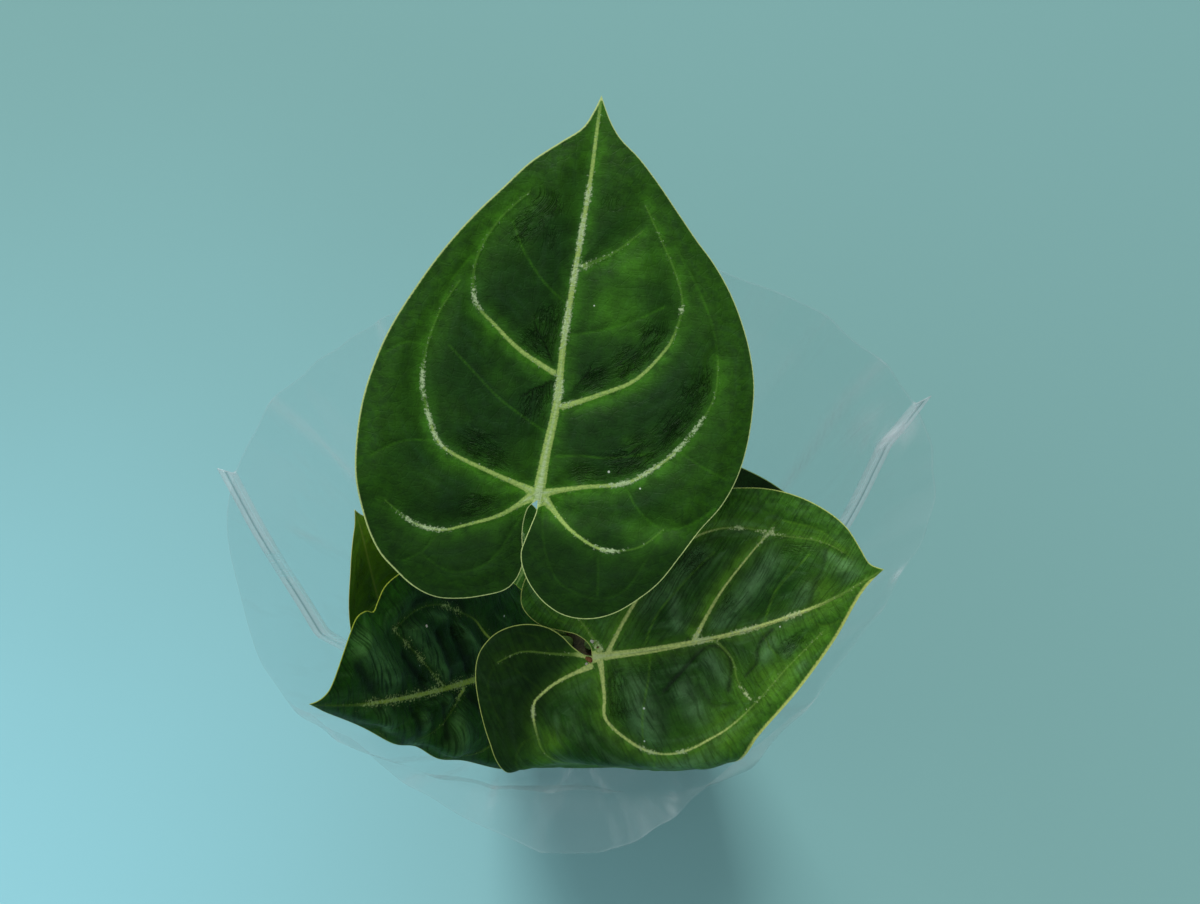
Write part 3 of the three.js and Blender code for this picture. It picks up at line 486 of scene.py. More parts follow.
def half_blade(leaf, side):
    """One half of a blade as points, triangles and how many points lie on the midrib."""
    step, outline = leaf["step"], leaf["outline"]
    margin = spaced(outline["margin"][side], step)
    midrib = spaced(outline["midrib"], step)
    rim = np.vstack([midrib, margin[1:-1][::-1]])
    rows = []
    for vein in [outline["midrib"], *outline["veins"][side]]:
        line = spaced(vein, step * 0.85)
        offsets = (0.6, -0.6, 1.3, -1.3) if vein is outline["midrib"] else (0, 0.6, -0.6, 1.25, -1.25)
        rows += [line + offset * sideways(line) for offset in offsets]
    rows += [margin + offset * sideways(margin) for offset in (0.45, -0.45)]
    reach = outline["length"] * 1.05
    ys = np.arange(-reach, reach, step * 0.87)
    xs = np.arange(-reach, reach, step)
    rows.append(np.array([(x + (k % 2) * step / 2, y) for k, y in enumerate(ys) for x in xs]))
    field = np.vstack(rows)
    field = field[((field > rim.min(0)) & (field < rim.max(0))).all(1)]
    field = field[inside(field, rim)]
    field = field[nearest(field, np.vstack([rim, rim[:1]]))[0] > 0.3]
    field = field[thinned(field.tolist(), 0.5 * step)]
    points = np.vstack([rim, field])
    loop = [(k, (k + 1) % len(rim)) for k in range(len(rim))]
    made = geometry.delaunay_2d_cdt([Vector(p) for p in points.tolist()], loop, [], 1, 1e-6)
    places, triangles, origins = made[0], made[2], made[3]
    whence = [origin[0] if origin else -1 for origin in origins]
    assert min(whence) >= 0 and len(places) == len(points), leaf["name"]
    return points, [[whence[i] for i in t] for t in triangles], len(midrib)


def nearest_vein(leaf, side, points):
    """The closest of the midrib and the veins of a side: its gap, half width and paleness, how
    far the point lies along it, and whether it lies on the vein's inner side, 1, or outer, -1."""
    outline = leaf["outline"]
    scale = outline["length"] / LARGE_LENGTH
    lines = [(outline["midrib"], outline.get("midrib_pale", MIDRIB_PALE), MIDRIB_HALF)]
    lines += [(vein, pale, VEIN_HALF) for vein, pale in zip(outline["veins"][side], outline["pale"][side])]
    best = np.full(len(points), np.inf)
    found = {key: np.zeros(len(points)) for key in ("half", "pale", "inner", "run")}
    for vein, pale, half in lines:
        line = spaced(vein, VEIN_STEP)
        gap, along = nearest(points, line)
        shares = np.linspace(0, 1, len(line))
        off = points - points_at(along, shares, line)
        way = points_at(along, shares, np.gradient(line, axis=0))
        way = way / np.linalg.norm(way, axis=1)[:, None]
        leftward = (way[:, 0] * off[:, 1] - way[:, 1] * off[:, 0]) / np.maximum(gap, 0.5)
        inner = leftward if side == "right" else -leftward
        if vein is outline["midrib"]:
            inner = np.full(len(points), 0.5 if side == "left" else 0.1)
        values = {
            "half": half * scale * np.interp(along, (0, 0.12, 0.4, 1), (1.3, 1, 0.62, 0.32)),
            "pale": 1 - (1 - FAINT) * smooth(along, pale - 0.12, pale + 0.08),
            "inner": inner,
            "run": along * len(line) * VEIN_STEP,
        }
        closer = gap < best
        best = np.where(closer, gap, best)
        found = {key: np.where(closer, values[key], found[key]) for key in found}
    return best, found


def relief(leaf, side, p):
    """Heights of a blade's two faces over its plane, and the values that its skin is painted by."""
    outline = leaf["outline"]
    across, ahead = p[:, 0], p[:, 1]
    from_stalk = np.linalg.norm(p, axis=1)
    to_midrib = nearest(p, spaced(outline["midrib"], 3))[0]
    to_margin = nearest(p, spaced(outline["margin"][side], leaf["step"]))[0]
    to_vein, vein = nearest_vein(leaf, side, p)
    to_twig = np.minimum.reduce([nearest(p, spaced(twig, 2))[0] for twig in outline["twigs"][side]])

    # The form that the solid has.
    rise = smooth(from_stalk, 3, 12)
    quilt = leaf["quilt"] * (1 - bell(to_vein, 6)) * smooth(to_margin, 0, 9)
    fold = leaf["fold"] * (np.hypot(to_midrib, 6) - 6)
    angle = np.arctan2(across, ahead - outline["length"] * 0.35)
    wave = leaf["wave"] * np.sin(leaf["waves"] * angle + leaf["phase"]) * np.exp(-to_margin / 12)
    on_lobe = smooth(p @ np.array(leaf["lift"], float), 1, 11)
    level = rise * (quilt + fold + wave) + LOBE_LIFT[side] * on_lobe

    # Wrinkles on the inner sides of the veins, then swollen panels with puckers, and cross folds.
    edge = smooth(to_margin, 0, 3)
    seed = sum(map(ord, leaf["name"]))
    beside = smooth(to_vein, 1, 3) * (1 - smooth(to_vein, 9, 13)) * smooth(vein["inner"], -0.2, 0.6)
    beside = beside * smooth(bumps(p, outline["crumples"]) + 0.3 * wander(p, 7, seed + 9), 0.2, 0.85)
    ripple = wander(np.column_stack([vein["run"] / 3, to_vein]), 1.9, seed)
    crumple = leaf["crumple"] * beside * (1.1 * ripple - 0.7 * bell(ripple, 0.14)) * rise * edge
    still = smooth(to_vein, 1, 6) * smooth(to_margin, 1, 9) * rise
    puckers = np.clip(1 - np.abs(wander(p, 19, seed + 4)) * 5, 0, 1)
    swell = leaf["swell"] * (wander(p, 17, seed + 3) - 0.6 * puckers) * still
    slant = ahead - 0.7 * across + 5 * wander(p, 30, seed + 6)
    silk = wander(np.column_stack([across / 4.5, slant]), 12, seed + 5, 1) * smooth(to_midrib, 1, 7)
    silk = 3.4 * leaf["silk"] * silk * smooth(to_margin, 0, 7) * rise

    # Listed pillows and grooves, the sunk twigs, and the veins' ridges and ribs.
    satin, sunk = np.zeros(len(p)), np.zeros(len(p))
    for start, end, width, height in outline.get("pillows", []):
        body = bell(nearest(p, np.array([start, end], float))[0], width)
        swell = swell + height * body * still
        satin = np.maximum(satin, body)
    for line, width, depth in outline.get("grooves", []):
        body = bell(nearest(p, spaced(line, 1))[0] + 0.3 * width * wander(p, 3, seed + 8), width)
        swell = swell - depth * body * still
        sunk = np.maximum(sunk, body * min(1, 1.4 * depth))
    groove = -0.28 * bell(to_twig, 0.9) * smooth(to_vein, 0.5, 3) * edge
    level = level + crumple + swell + silk + groove
    ridge = np.sqrt(np.clip(1 - (to_vein / np.maximum(vein["half"] * 1.25, 0.45)) ** 2, 0, 1))
    boss = np.maximum(ridge * edge, 1 - smooth(from_stalk, 3, 7))
    taper = np.maximum(vein["half"] / MIDRIB_HALF, 0.35)
    thick = SKIN_THICKNESS * (0.6 + 0.4 * smooth(to_margin, 0, 1.2))
    top = level + boss * RIDGE_HEIGHT * taper - 0.12 * bell(to_margin, 0.35)
    bottom = level - thick - np.maximum(boss, 0.35 * bell(to_twig, 0.8)) * RIB_DEPTH * taper

    star = 0.9 * outline["length"] / LARGE_LENGTH * bell(from_stalk, 4.5)
    # On some sides the pale margin line is widened: the margin's own colour, and a painted highlight where
    # the rolled edge catches the light.
    edge_width = 1 + leaf["edge"].get(side, 0) * smooth(np.abs(across) + 0.35 * ahead, 14, 34)
    glow = bell(to_vein, 3.6) * (1 - 0.55 * smooth(vein["inner"], -0.3, 0.5))
    grain = ahead - leaf["grain"].get(side, 0) * across + 1.5 * wander(p, 14, seed + 7)
    seeds = np.full(len(p), seed)
    return top, bottom, {
        "vein_gap": to_vein - vein["half"] - star,
        "vein_pale": vein["pale"],
        "twig_gap": to_twig,
        "margin_gap": to_margin,
        "margin_line": to_margin / edge_width,
        # Painted shade: how much a lobe that faces away from the light is darkened.
        "deep": on_lobe * leaf["deep"].get(side, 0),
        "crust": bumps(p, outline["crust"]),
        # The wrinkled bands by the veins, whose creases get painted shade.
        "crumpled": beside * rise,
        "glow": glow * (0.5 + 0.5 * vein["pale"]),
        # The pillows by the veins: a painted sheen there, and a little less roughness.
        "satin": satin * smooth(to_vein, 0.5, 3),
        # The sunk grooves, which get painted shade.
        "sunk": sunk,
        "fresh": bumps(p, outline["fresh"]),
        "vein_place": np.column_stack([vein["run"], to_vein, seeds]),
        "grain_place": np.column_stack([across, grain, seeds]),
    }


def bent(points, bend):
    """Rolls the part of a blade beyond a line round a cylinder under it."""
    (x, y), towards, radius, most = bend
    out = np.array([math.cos(math.radians(towards)), math.sin(math.radians(towards))])
    past = (points[:, :2] - (x, y)) @ out
    angle = np.minimum(np.maximum(past, 0) / radius, math.radians(most))
    rest = past - radius * angle
    reach = (radius + points[:, 2]) * np.sin(angle) + rest * np.cos(angle)
    height = (radius + points[:, 2]) * np.cos(angle) - radius - rest * np.sin(angle)
    over = past > 0
    moved = points.copy()
    moved[over, :2] += (reach - past)[over, None] * out
    moved[over, 2] = height[over]
    return moved


def leaf_basis(leaf):
    """The blade's right, forward and upward directions in the part's frame."""
    azimuth, pitch, roll = (math.radians(leaf[key]) for key in ("azimuth", "pitch", "roll"))
    ahead = Vector((
        math.cos(azimuth) * math.cos(pitch), math.sin(azimuth) * math.cos(pitch), math.sin(pitch)))
    level = Vector((math.sin(azimuth), -math.cos(azimuth), 0))
    right = Quaternion(ahead, -roll) @ level
    return np.array([right, ahead, right.cross(ahead)])


# Turning points and faces into finished pieces.
def placed(name, data):
    """A new object in the scene, at the origin."""
    made = bpy.data.objects.new(name, data)
    bpy.context.scene.collection.objects.link(made)
    return made


def dressed(piece, slot, *nodes):
    """Shades a piece smoothly, lets it ride with the part and hides the solids' nodes that it stands for.
    """
    piece.data.polygons.foreach_set("use_smooth", [True] * len(piece.data.polygons))
    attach(piece, "root")
    if nodes:
        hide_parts(*nodes)
    return piece


def mesh_of(name, points, faces, *materials):
    """A mesh from points in millimetres."""
    mesh = bpy.data.meshes.new(name)
    mesh.from_pydata((np.asarray(points) * MM).tolist(), [], faces)
    for material in materials:
        mesh.materials.append(material)
    return mesh


def marked(mesh, marks):
    """Gives a mesh its painted values, one number or one vector at each point."""
    for key, values in marks.items():
        values = np.asarray(values, np.float32)
        single = values.ndim == 1
        layer = mesh.attributes.new(key, "FLOAT" if single else "FLOAT_VECTOR", "POINT")
        layer.data.foreach_set("value" if single else "vector", values.ravel())


def blade(leaf, upper, lower):
    """A closed blade: the same triangles on both faces, and a wall round the margin."""
    halves, faces, count, known = {}, [], 0, 0
    for side in ("left", "right"):
        points, triangles, on_midrib = half_blade(leaf, side)
        top, bottom, painted = relief(leaf, side, points)
        place = [*range(known), *range(count, count + len(points) - known)]
        faces += [[place[i] for i in t] for t in triangles]
        for key, values in {"plan": points, "top": top, "bottom": bottom, **painted}.items():
            halves.setdefault(key, []).append(values[known:])
        # The other half takes the midrib's points from this one.
        count, known = len(points), on_midrib
    painted = {key: np.concatenate(values) for key, values in halves.items()}
    plan, tops, bottoms = (painted.pop(key) for key in ("plan", "top", "bottom"))
    layers = []
    for heights in (tops, bottoms):
        points = np.column_stack([plan, heights])
        for bend in leaf["bends"]:
            points = bent(points, bend)
        layers.append(points @ leaf_basis(leaf) + np.array(leaf["at"]))
    count = len(plan)
    a, b, c = (plan[[f[k] for f in faces]] for k in range(3))
    faces = [f[::-1] if back else f for f, back in zip(faces, np.cross(b - a, c - a) < 0)]
    once = {}
    for f in faces:
        for edge in zip(f, (*f[1:], f[0])):
            if once.pop(edge[::-1], None) is None:
                once[edge] = True
    wall = [(a, a + count, b + count, b) for a, b in once]
    under = [[i + count for i in f] for f in flipped(faces)]
    mesh = mesh_of(f"{leaf['name']}_skin", np.vstack(layers), [*faces, *under, *wall], upper, lower)
    marked(mesh, {key: np.concatenate([values, values]) for key, values in painted.items()})
    corners = np.empty(len(mesh.loops), np.int32)
    mesh.loops.foreach_get("vertex_index", corners)
    on_plan = np.asarray(np.vstack([plan, plan]) / 100, np.float32)[corners]
    mesh.uv_layers.new(name="plan").uv.foreach_set("vector", on_plan.ravel())
    mesh.polygons.foreach_set("material_index", [0] * len(faces) + [1] * len(under) + [0] * len(wall))
    margins = {tuple(sorted(edge)) for a, b in once for edge in ((a, b), (a + count, b + count))}
    sharp = mesh.attributes.new("sharp_edge", "BOOLEAN", "EDGE")
    sharp.data.foreach_set("value", [tuple(sorted(e.vertices)) in margins for e in mesh.edges])
    mesh.update()
    return dressed(placed(mesh.name, mesh), leaf["slot"], f"{leaf['name']}_blade")


def circle(count):
    """Equal angles right round."""
    return np.arange(count) / count * math.tau


def ring(radius, angles, height):
    """A loop of points round the upright axis."""
    return np.stack([radius * np.cos(angles), radius * np.sin(angles), height + 0 * angles], axis=1)


def bands(rows, count, stride=0, first=0):
    """Faces between each ring of points and the next, facing out where the rings climb."""
    stride = stride or count
    faces = []
    for low in range(first, first + (rows - 1) * stride, stride):
        for k in range(count):
            after = (k + 1) % count
            faces.append((low + k, low + after, low + stride + after, low + stride + k))
    return faces


def flipped(faces):
    return [(face[0], *face[:0:-1]) for face in faces]


def rings_piece(name, loops, material, node, slot, marks):
    """A closed tube through loops of equally many points, with a domed cap at each end."""
    count = len(loops[0])
    points = np.vstack([*loops, [np.mean(loops[0], axis=0)], [np.mean(loops[-1], axis=0)]])
    first, last = len(points) - 2, len(points) - 1
    end = (len(loops) - 1) * count
    faces = bands(len(loops), count)
    for k in range(count):
        after = (k + 1) % count
        faces += [(first, after, k), (last, end + k, end + after)]
    mesh = mesh_of(name, points, faces, material)
    marked(mesh, {key: [*values, values[0], values[-1]] for key, values in marks.items()})
    mesh.update()
    return dressed(placed(name, mesh), slot, node)


# The stalks.
def stalk_curve(leaf):
    """The four handles of a stalk's curve, and the direction in which it meets its blade."""
    basis, at = leaf_basis(leaf), np.array(leaf["at"], float)
    top = np.array([*JOINT, -SKIN_THICKNESS - RIB_DEPTH - 0.05]) @ basis + at
    turn = math.radians(leaf["ring"])
    outward = np.array([math.cos(turn), math.sin(turn), 0])
    base = outward * CROWN_RING + (0, 0, CROWN_SEAT + 0.05)
    solid_top = top - basis[2] * (BLADE_THICKNESS - SKIN_THICKNESS + GAP + SETTLE - 0.05)
    span = np.linalg.norm(solid_top - base)
    lower = base + outward * span * leaf["lean"] + (0, 0, span * 0.3)
    return [base, lower, top - basis[2] * span * 0.22, top], basis[2]


def stalk(leaf, material):
    """A round stalk with a thicker knee under the blade and a slightly flared foot."""
    (a, b, c, d), normal = stalk_curve(leaf)
    t = np.linspace(0, 1, 400)[:, None]
    dense = a * (1 - t) ** 3 + 3 * b * t * (1 - t) ** 2 + 3 * c * t * t * (1 - t) + d * t**3
    run = run_along(dense)
    length = run[-1]
    places = np.r_[0, 0.25, np.arange(1.2, length - 1, 1.6), length - 0.4, length - 0.15, length]
    centres = points_at(places, run, dense)
    tangents = np.gradient(centres, places, axis=0)
    tangents[0], tangents[-1] = (0, 0, 1), normal
    across = np.array([1.0, 0, 0])
    seed = sum(map(ord, leaf["name"]))
    angles = circle(STALK_SIDES)
    loops, grain, knees = [], [], []
    for place, centre, tangent in zip(places, centres, tangents):
        tangent = tangent / np.linalg.norm(tangent)
        across = across - tangent * (across @ tangent)
        across = across / np.linalg.norm(across)
        to_top = length - place
        slim = np.interp(place / (length - KNEE_LENGTH), (0, 1), (STALK_BASE_RADIUS, STALK_TOP_RADIUS))
        knee = 1 - smooth(to_top, 0.7 * KNEE_LENGTH, KNEE_LENGTH)
        full = slim + (KNEE_RADIUS - slim) * knee
        radius = full - 0.12 * knee * math.sin(to_top * 3.1) ** 2
        radius -= 0.45 * max(0, 1 - min(place, to_top) / 0.4)
        lumps = noise.fractal(Vector((place / 9, seed, 0)), 1.0, 2.0, 2) * 0.12
        around = radius + lumps * min(1, place / 4, to_top / 4) - 0.1 * np.cos(angles * 2 + place / 60)
        loop = ring(np.minimum(around, full), angles, 0)
        loops.append(centre + loop @ np.array([across, np.cross(tangent, across), tangent]))
        grain += ring(2.2, angles, place * 0.08 + seed).tolist()
        knees += [knee] * STALK_SIDES
    return rings_piece(
        f"{leaf['name']}_stalk", loops, material, f"{leaf['name']}_petiole", "petiole",
        {"grain": grain, "knee": knees})


# The crown, the mix and the pot.
def crown(material):
    """The short stem, with its rings of scars, under a collar of torn papery sheaths."""
    collar = CROWN_RADIUS + 1.4
    rim = CROWN_SEAT + COLLAR_HEIGHT
    flare = CROWN_SEAT - 8
    profile = [
        (1.5, CROWN_BOTTOM), (CROWN_RADIUS - 3, CROWN_BOTTOM + 0.2), (CROWN_RADIUS - 0.6, CROWN_BOTTOM + 3),
        *[(CROWN_RADIUS - 0.1, z) for z in np.arange(CROWN_BOTTOM + 4, flare, 0.8)],
        *[(np.interp(z, (flare, CROWN_SEAT), (CROWN_RADIUS, collar)), z)
          for z in np.arange(flare, CROWN_SEAT, 0.8)],
        *[(collar + 0.5 * share, CROWN_SEAT + COLLAR_HEIGHT * share) for share in np.arange(0, 1.01, 0.1)],
        (collar + 0.1, rim),
        *[(collar - 0.5 - 0.6 * (1 - share), CROWN_SEAT + COLLAR_HEIGHT * share)
          for share in np.arange(0.95, 0.02, -0.1)],
        (collar - 1.3, CROWN_SEAT), *[(radius, CROWN_SEAT) for radius in (10.5, 8, 5, 1.5)],
    ]
    angles = circle(CROWN_SIDES)
    torn = np.abs([noise.noise(Vector(place)) for place in ring(6, angles, 4)])
    loops, grain, sheath = [], [], []
    inner = False
    for radius, z in profile:
        over = z > CROWN_SEAT + 0.5
        ragged = COLLAR_HEIGHT * 0.5 * np.abs(np.sin(angles * 2.5)) + torn * 1.6
        dip = ragged * over * (z - CROWN_SEAT) / COLLAR_HEIGHT
        lump = np.abs([noise.fractal(Vector(place), 1.0, 2.0, 3) for place in ring(3, angles, z / 3)])
        scars = 0.3 * abs(math.sin(z * 0.9)) if z < flare else 0
        wall = CROWN_RADIUS - 3 < radius and z < rim
        around = radius - (0.15 + scars + 0.3 * lump) * (wall and not inner)
        inner = inner or z >= rim
        loops.append(ring(around, angles, z - dip))
        grain += ring(9, angles, z * 0.12).tolist()
        sheath += [float(smooth(z, CROWN_SEAT - 9, CROWN_SEAT - 5)) * (radius > 10.6)] * CROWN_SIDES
    return rings_piece("crown_stem", loops, material, "crown", "crown", {"grain": grain, "sheath": sheath})


def soil_height(x, y):
    lumps = np.sin(x * 0.23 + 1) * np.cos(y * 0.19 - 0.6) + 0.6 * np.sin(x * 0.11 - y * 0.27)
    return SOIL_TOP - 3 + 1.6 * lumps


def pot_radius(height):
    return np.interp(
        height, (0, POT_HEIGHT - RIM_BAND), (POT_BASE_RADIUS, POT_RIM_RADIUS - RIM_STEP))


def soil(material):
    """The mix: a crumbly mound round the stem, pressed against the pot's wall."""
    inset = POT_WALL + GAP + 0.1
    top = pot_radius(SOIL_TOP - 6) - inset
    hole = CROWN_RADIUS + GAP
    floor = POT_FLOOR + GAP
    angles = circle(POT_SIDES)
    loops = [ring(radius, angles, CROWN_BOTTOM - GAP) for radius in (1, 6, hole - 0.6, hole)]
    loops.append(ring(hole, angles, CROWN_BOTTOM + 5))
    for radius in [*np.linspace(hole, top - 1, 44), top - 0.3]:
        x, y = ring(radius, angles, 0).T[:2]
        crumbs = np.array([noise.turbulence(Vector((a / 3.2, b / 3.2, 7)), 4, False) for a, b in zip(x, y)])
        fall = 3 * smooth(radius, top - 3, top)
        loops.append(ring(radius, angles, soil_height(x, y) + 2.4 * (crumbs - 0.5) - fall))
    for z in np.linspace(SOIL_TOP - 6.4, floor + 0.8, 16):
        dents = np.abs([noise.noise(Vector(place)) for place in ring(8, angles, z / 5)])
        loops.append(ring(pot_radius(z) - inset - dents, angles, z))
    loops += [ring(radius, angles, floor) for radius in (pot_radius(floor) - inset - 1.4, 20, 1)]
    return rings_piece("soil_mound", loops[::-1], material, "soil", "soil", {})


def scatter_tree():
    """Geometry Nodes: rough bits strewn over a surface, each with its own turn and size."""
    tree = bpy.data.node_groups.new("Strewn bits", "GeometryNodeTree")
    tree.interface.new_socket("Geometry", in_out="INPUT", socket_type="NodeSocketGeometry")
    for label, value in (
        ("Density", 9000.0), ("Spacing", 0.005), ("Length", 0.006), ("Width", 0.7), ("Thickness", 0.4),
        ("Roughness", 0.15), ("Tilt", 0.4), ("Sink", 0.0006), ("Seed", 3),
    ):
        kind = "NodeSocketInt" if label == "Seed" else "NodeSocketFloat"
        tree.interface.new_socket(label, in_out="INPUT", socket_type=kind).default_value = value
    tree.interface.new_socket("Material", in_out="INPUT", socket_type="NodeSocketMaterial")
    tree.interface.new_socket("Geometry", in_out="OUTPUT", socket_type="NodeSocketGeometry")
    given = tree.nodes.new("NodeGroupInput").outputs

    def add(kind, sources, output=0, **settings):
        return new_node(tree, kind, sources, **settings).outputs[output]

    def scaled(vector, factor):
        return add("ShaderNodeVectorMath", {0: vector, "Scale": factor}, operation="SCALE")

    spots = add(
        "GeometryNodeDistributePointsOnFaces",
        {"Mesh": given["Geometry"], "Distance Min": given["Spacing"], "Density Max": given["Density"],
         "Seed": given["Seed"]}, "Points", distribute_method="POISSON")
    ball = add("GeometryNodeMeshIcoSphere", {"Radius": 0.5, "Subdivisions": 2})
    where = add("GeometryNodeInputPosition", ())
    rough = add("ShaderNodeTexNoise", {"Vector": where, "Scale": 2.6, "Detail": 3.0}, "Color")
    shove = add("ShaderNodeVectorMath", (rough, (0.5, 0.5, 0.5)), operation="SUBTRACT")
    dented = add(
        "GeometryNodeSetPosition", {"Geometry": ball, "Offset": scaled(shove, given["Roughness"])})
    tilt = add("ShaderNodeCombineXYZ", (given["Tilt"], given["Tilt"], math.pi))
    turn = add(
        "FunctionNodeRandomValue", {0: scaled(tilt, -1), 1: tilt, "Seed": given["Seed"]},
        data_type="FLOAT_VECTOR")
    size = add("FunctionNodeRandomValue", {2: 0.55, 3: 1.0, "Seed": 11}, 1)
    length = add("ShaderNodeMath", (given["Length"], size), operation="MULTIPLY")
    shape = add("ShaderNodeCombineXYZ", (1.0, given["Width"], given["Thickness"]))
    bits = add(
        "GeometryNodeInstanceOnPoints",
        {"Points": spots, "Instance": dented, "Rotation": turn, "Scale": scaled(shape, length)})
    sunk = add("ShaderNodeCombineXYZ", {"Z": given["Sink"]})
    bits = add(
        "GeometryNodeTranslateInstances", {"Instances": bits, "Translation": sunk, "Local Space": False})
    bits = add("GeometryNodeRealizeInstances", (bits,))
    bits = add("GeometryNodeSetMaterial", {"Geometry": bits, "Material": given["Material"]})
    feed(tree, tree.nodes.new("NodeGroupOutput").inputs["Geometry"], bits)
    return tree


def strewn(name, tree, surface, sizes, material):
    """Runs the scatter tree over a surface's points and faces, and keeps the bits as a plain mesh."""
    piece = placed(name, mesh_of(name, *surface))
    strew = piece.modifiers.new("Strewn bits", "NODES")
    strew.node_group = tree
    given = {**sizes, "Material": material}
    for item in tree.interface.items_tree:
        if item.in_out == "INPUT" and item.name in given:
            strew[item.identifier] = given[item.name]
    bpy.context.view_layer.update()
    made = bpy.data.meshes.new_from_object(piece.evaluated_get(bpy.context.evaluated_depsgraph_get()))
    piece.modifiers.clear()
    piece.data = made
    made.name = name
    dressed(piece, "soil")


def soil_ring(inner, outer, rows=12, count=60):
    """The mound's surface between two radii, for bits to be strewn over."""
    rings = [ring(radius, circle(count), 0) for radius in np.linspace(inner, outer, rows)]
    points = np.vstack(rings)
    points[:, 2] = soil_height(points[:, 0], points[:, 1])
    return points, flipped(bands(rows, count))


def pierced_disc(outer, height, holes, up):
    """A flat disc with round holes, as points and triangles."""
    outlines = [ring(outer, circle(POT_SIDES), height)]
    outlines += [ring(radius, circle(HOLE_SIDES), height) + (x, y, 0) for x, y, radius in holes]
    flat = np.vstack(outlines)
    loops, start = [], 0
    for outline in outlines:
        loops += [(start + k, start + (k + 1) % len(outline)) for k in range(len(outline))]
        start += len(outline)
    made = geometry.delaunay_2d_cdt([Vector(p) for p in flat[:, :2].tolist()], loops, [], 0, 1e-6)
    faces = []
    for triangle in made[2]:
        points = [made[0][i] for i in triangle]
        middle = sum(points, Vector((0, 0))) / 3
        in_hole = any(math.hypot(middle.x - x, middle.y - y) < radius for x, y, radius in holes)
        if in_hole or not middle.length < outer:
            continue
        whence = [made[3][i][0] for i in triangle]
        turned = (points[1] - points[0]).cross(points[2] - points[0]) < 0
        faces.append(whence if turned != up else whence[::-1])
    return flat, faces


def pot(material):
    """The nursery pot: a tapered cup with a rim band, a rolled lip and eight drain holes."""
    rim, base = POT_RIM_RADIUS, POT_BASE_RADIUS
    shoulder = POT_HEIGHT - RIM_BAND
    profile = [
        (base - 1, 0), (base - 0.4, 0.25), (base, 1),
        *[(float(pot_radius(z)), z) for z in (3, 5, 5.6, 12, 24, 36, 48, 60, 72, 80)],
        (rim - RIM_STEP, shoulder), (rim - 0.9, shoulder), (rim - 0.3, shoulder + 0.3), (rim, shoulder + 1),
        (rim, shoulder + 3), (rim - 0.15, shoulder + 3.3), (rim - 0.15, POT_HEIGHT - 3),
        (rim, POT_HEIGHT - 2.7), (rim, POT_HEIGHT - 1), (rim - 0.15, POT_HEIGHT - 0.4),
        (rim - 0.5, POT_HEIGHT - 0.05), (rim - 1, POT_HEIGHT), (rim - 1.4, POT_HEIGHT - 0.2),
        (rim - POT_WALL, POT_HEIGHT - 0.7), (rim - POT_WALL, shoulder + 2),
        (rim - RIM_STEP - 1.2, shoulder + 1.5), (rim - RIM_STEP - POT_WALL, shoulder + 1),
        *[(float(pot_radius(z)) - POT_WALL, z) for z in (80, 60, 36, 12, 3.4)],
        (base - POT_WALL - 0.6, POT_FLOOR + 0.2), (base - POT_WALL - 1.2, POT_FLOOR),
    ]
    parts = [np.vstack([ring(radius, circle(POT_SIDES), z) for radius, z in profile])]
    faces = bands(len(profile), POT_SIDES)
    holes = [(x, y, DRAIN_RADIUS) for x, y, _ in ring(DRAIN_RING, circle(DRAIN_HOLES), 0)]
    lips = []
    for (radius, _), z, up in ((profile[0], 0, False), (profile[-1], POT_FLOOR, True)):
        start = sum(map(len, parts))
        disc, triangles = pierced_disc(radius, z, holes, up)
        parts.append(disc)
        lips.append(start + POT_SIDES)
        faces += [[i + start for i in t] for t in triangles]
    low, high = lips
    for k in range(len(holes) * HOLE_SIDES):
        after = k - k % HOLE_SIDES + (k + 1) % HOLE_SIDES
        faces.append((low + k, high + k, high + after, low + after))
    mesh = mesh_of("nursery_pot", np.vstack(parts), faces, material)
    dressed(placed(mesh.name, mesh), "pot", "pot")
    work = bmesh.new()
    work.from_mesh(mesh)
    bmesh.ops.remove_doubles(work, verts=work.verts, dist=1e-6)
    bmesh.ops.recalc_face_normals(work, faces=work.faces)
    for edge in work.edges:
        edge.smooth = edge.calc_face_angle(0) < math.radians(50)
    work.to_mesh(mesh)
    work.free()


# The sleeve: rings of radii at equal azimuths from +X, at named heights, as in the solid.
SLEEVE_RINGS = [
    (SLEEVE_BOTTOM, [48]), (60, [52.5]), (POT_HEIGHT - RIM_BAND, [FILM_REST]), (POT_HEIGHT, [FILM_REST]),
    (140, [
        66, 66, 65, 65, 64, 64, 64, 64, 66, 68, 70, 71, 69, 69, 70, 70, 68, 66, 65, 65, 65, 66, 66, 66]),
    (185, [
        76, 76, 75, 74, 73, 72, 72, 72, 73, 75, 78, 80, 81, 83, 87, 87, 82, 77, 75, 75, 76, 76, 76, 76]),
    (230, [
        90, 89, 87, 84, 81, 79, 78, 78, 80, 84, 88, 92, 94, 96, 99, 99, 91, 86, 83, 85, 88, 88, 87, 89]),
    (275, [
        103, 101, 96, 91, 84, 80, 79, 79, 82, 87, 93, 99,
        104, 103, 108, 104, 94, 89, 86, 90, 98.5, 98.5, 95, 98]),
    (300, [
        110, 108, 102, 96, 89, 84, 82, 82, 85, 90, 97, 104,
        110, 110, 113, 106, 98, 96, 98, 97, 99.5, 99, 99.5, 104.5]),
    (SLEEVE_TOP, [
        119, 121, 113, 105, 96.5, 90, 86, 86.5, 88.5, 93, 101.5, 110,
        115, 113, 113, 105, 104, 107.5, 114, 106, 99, 98.5, 101, 107.5]),
]
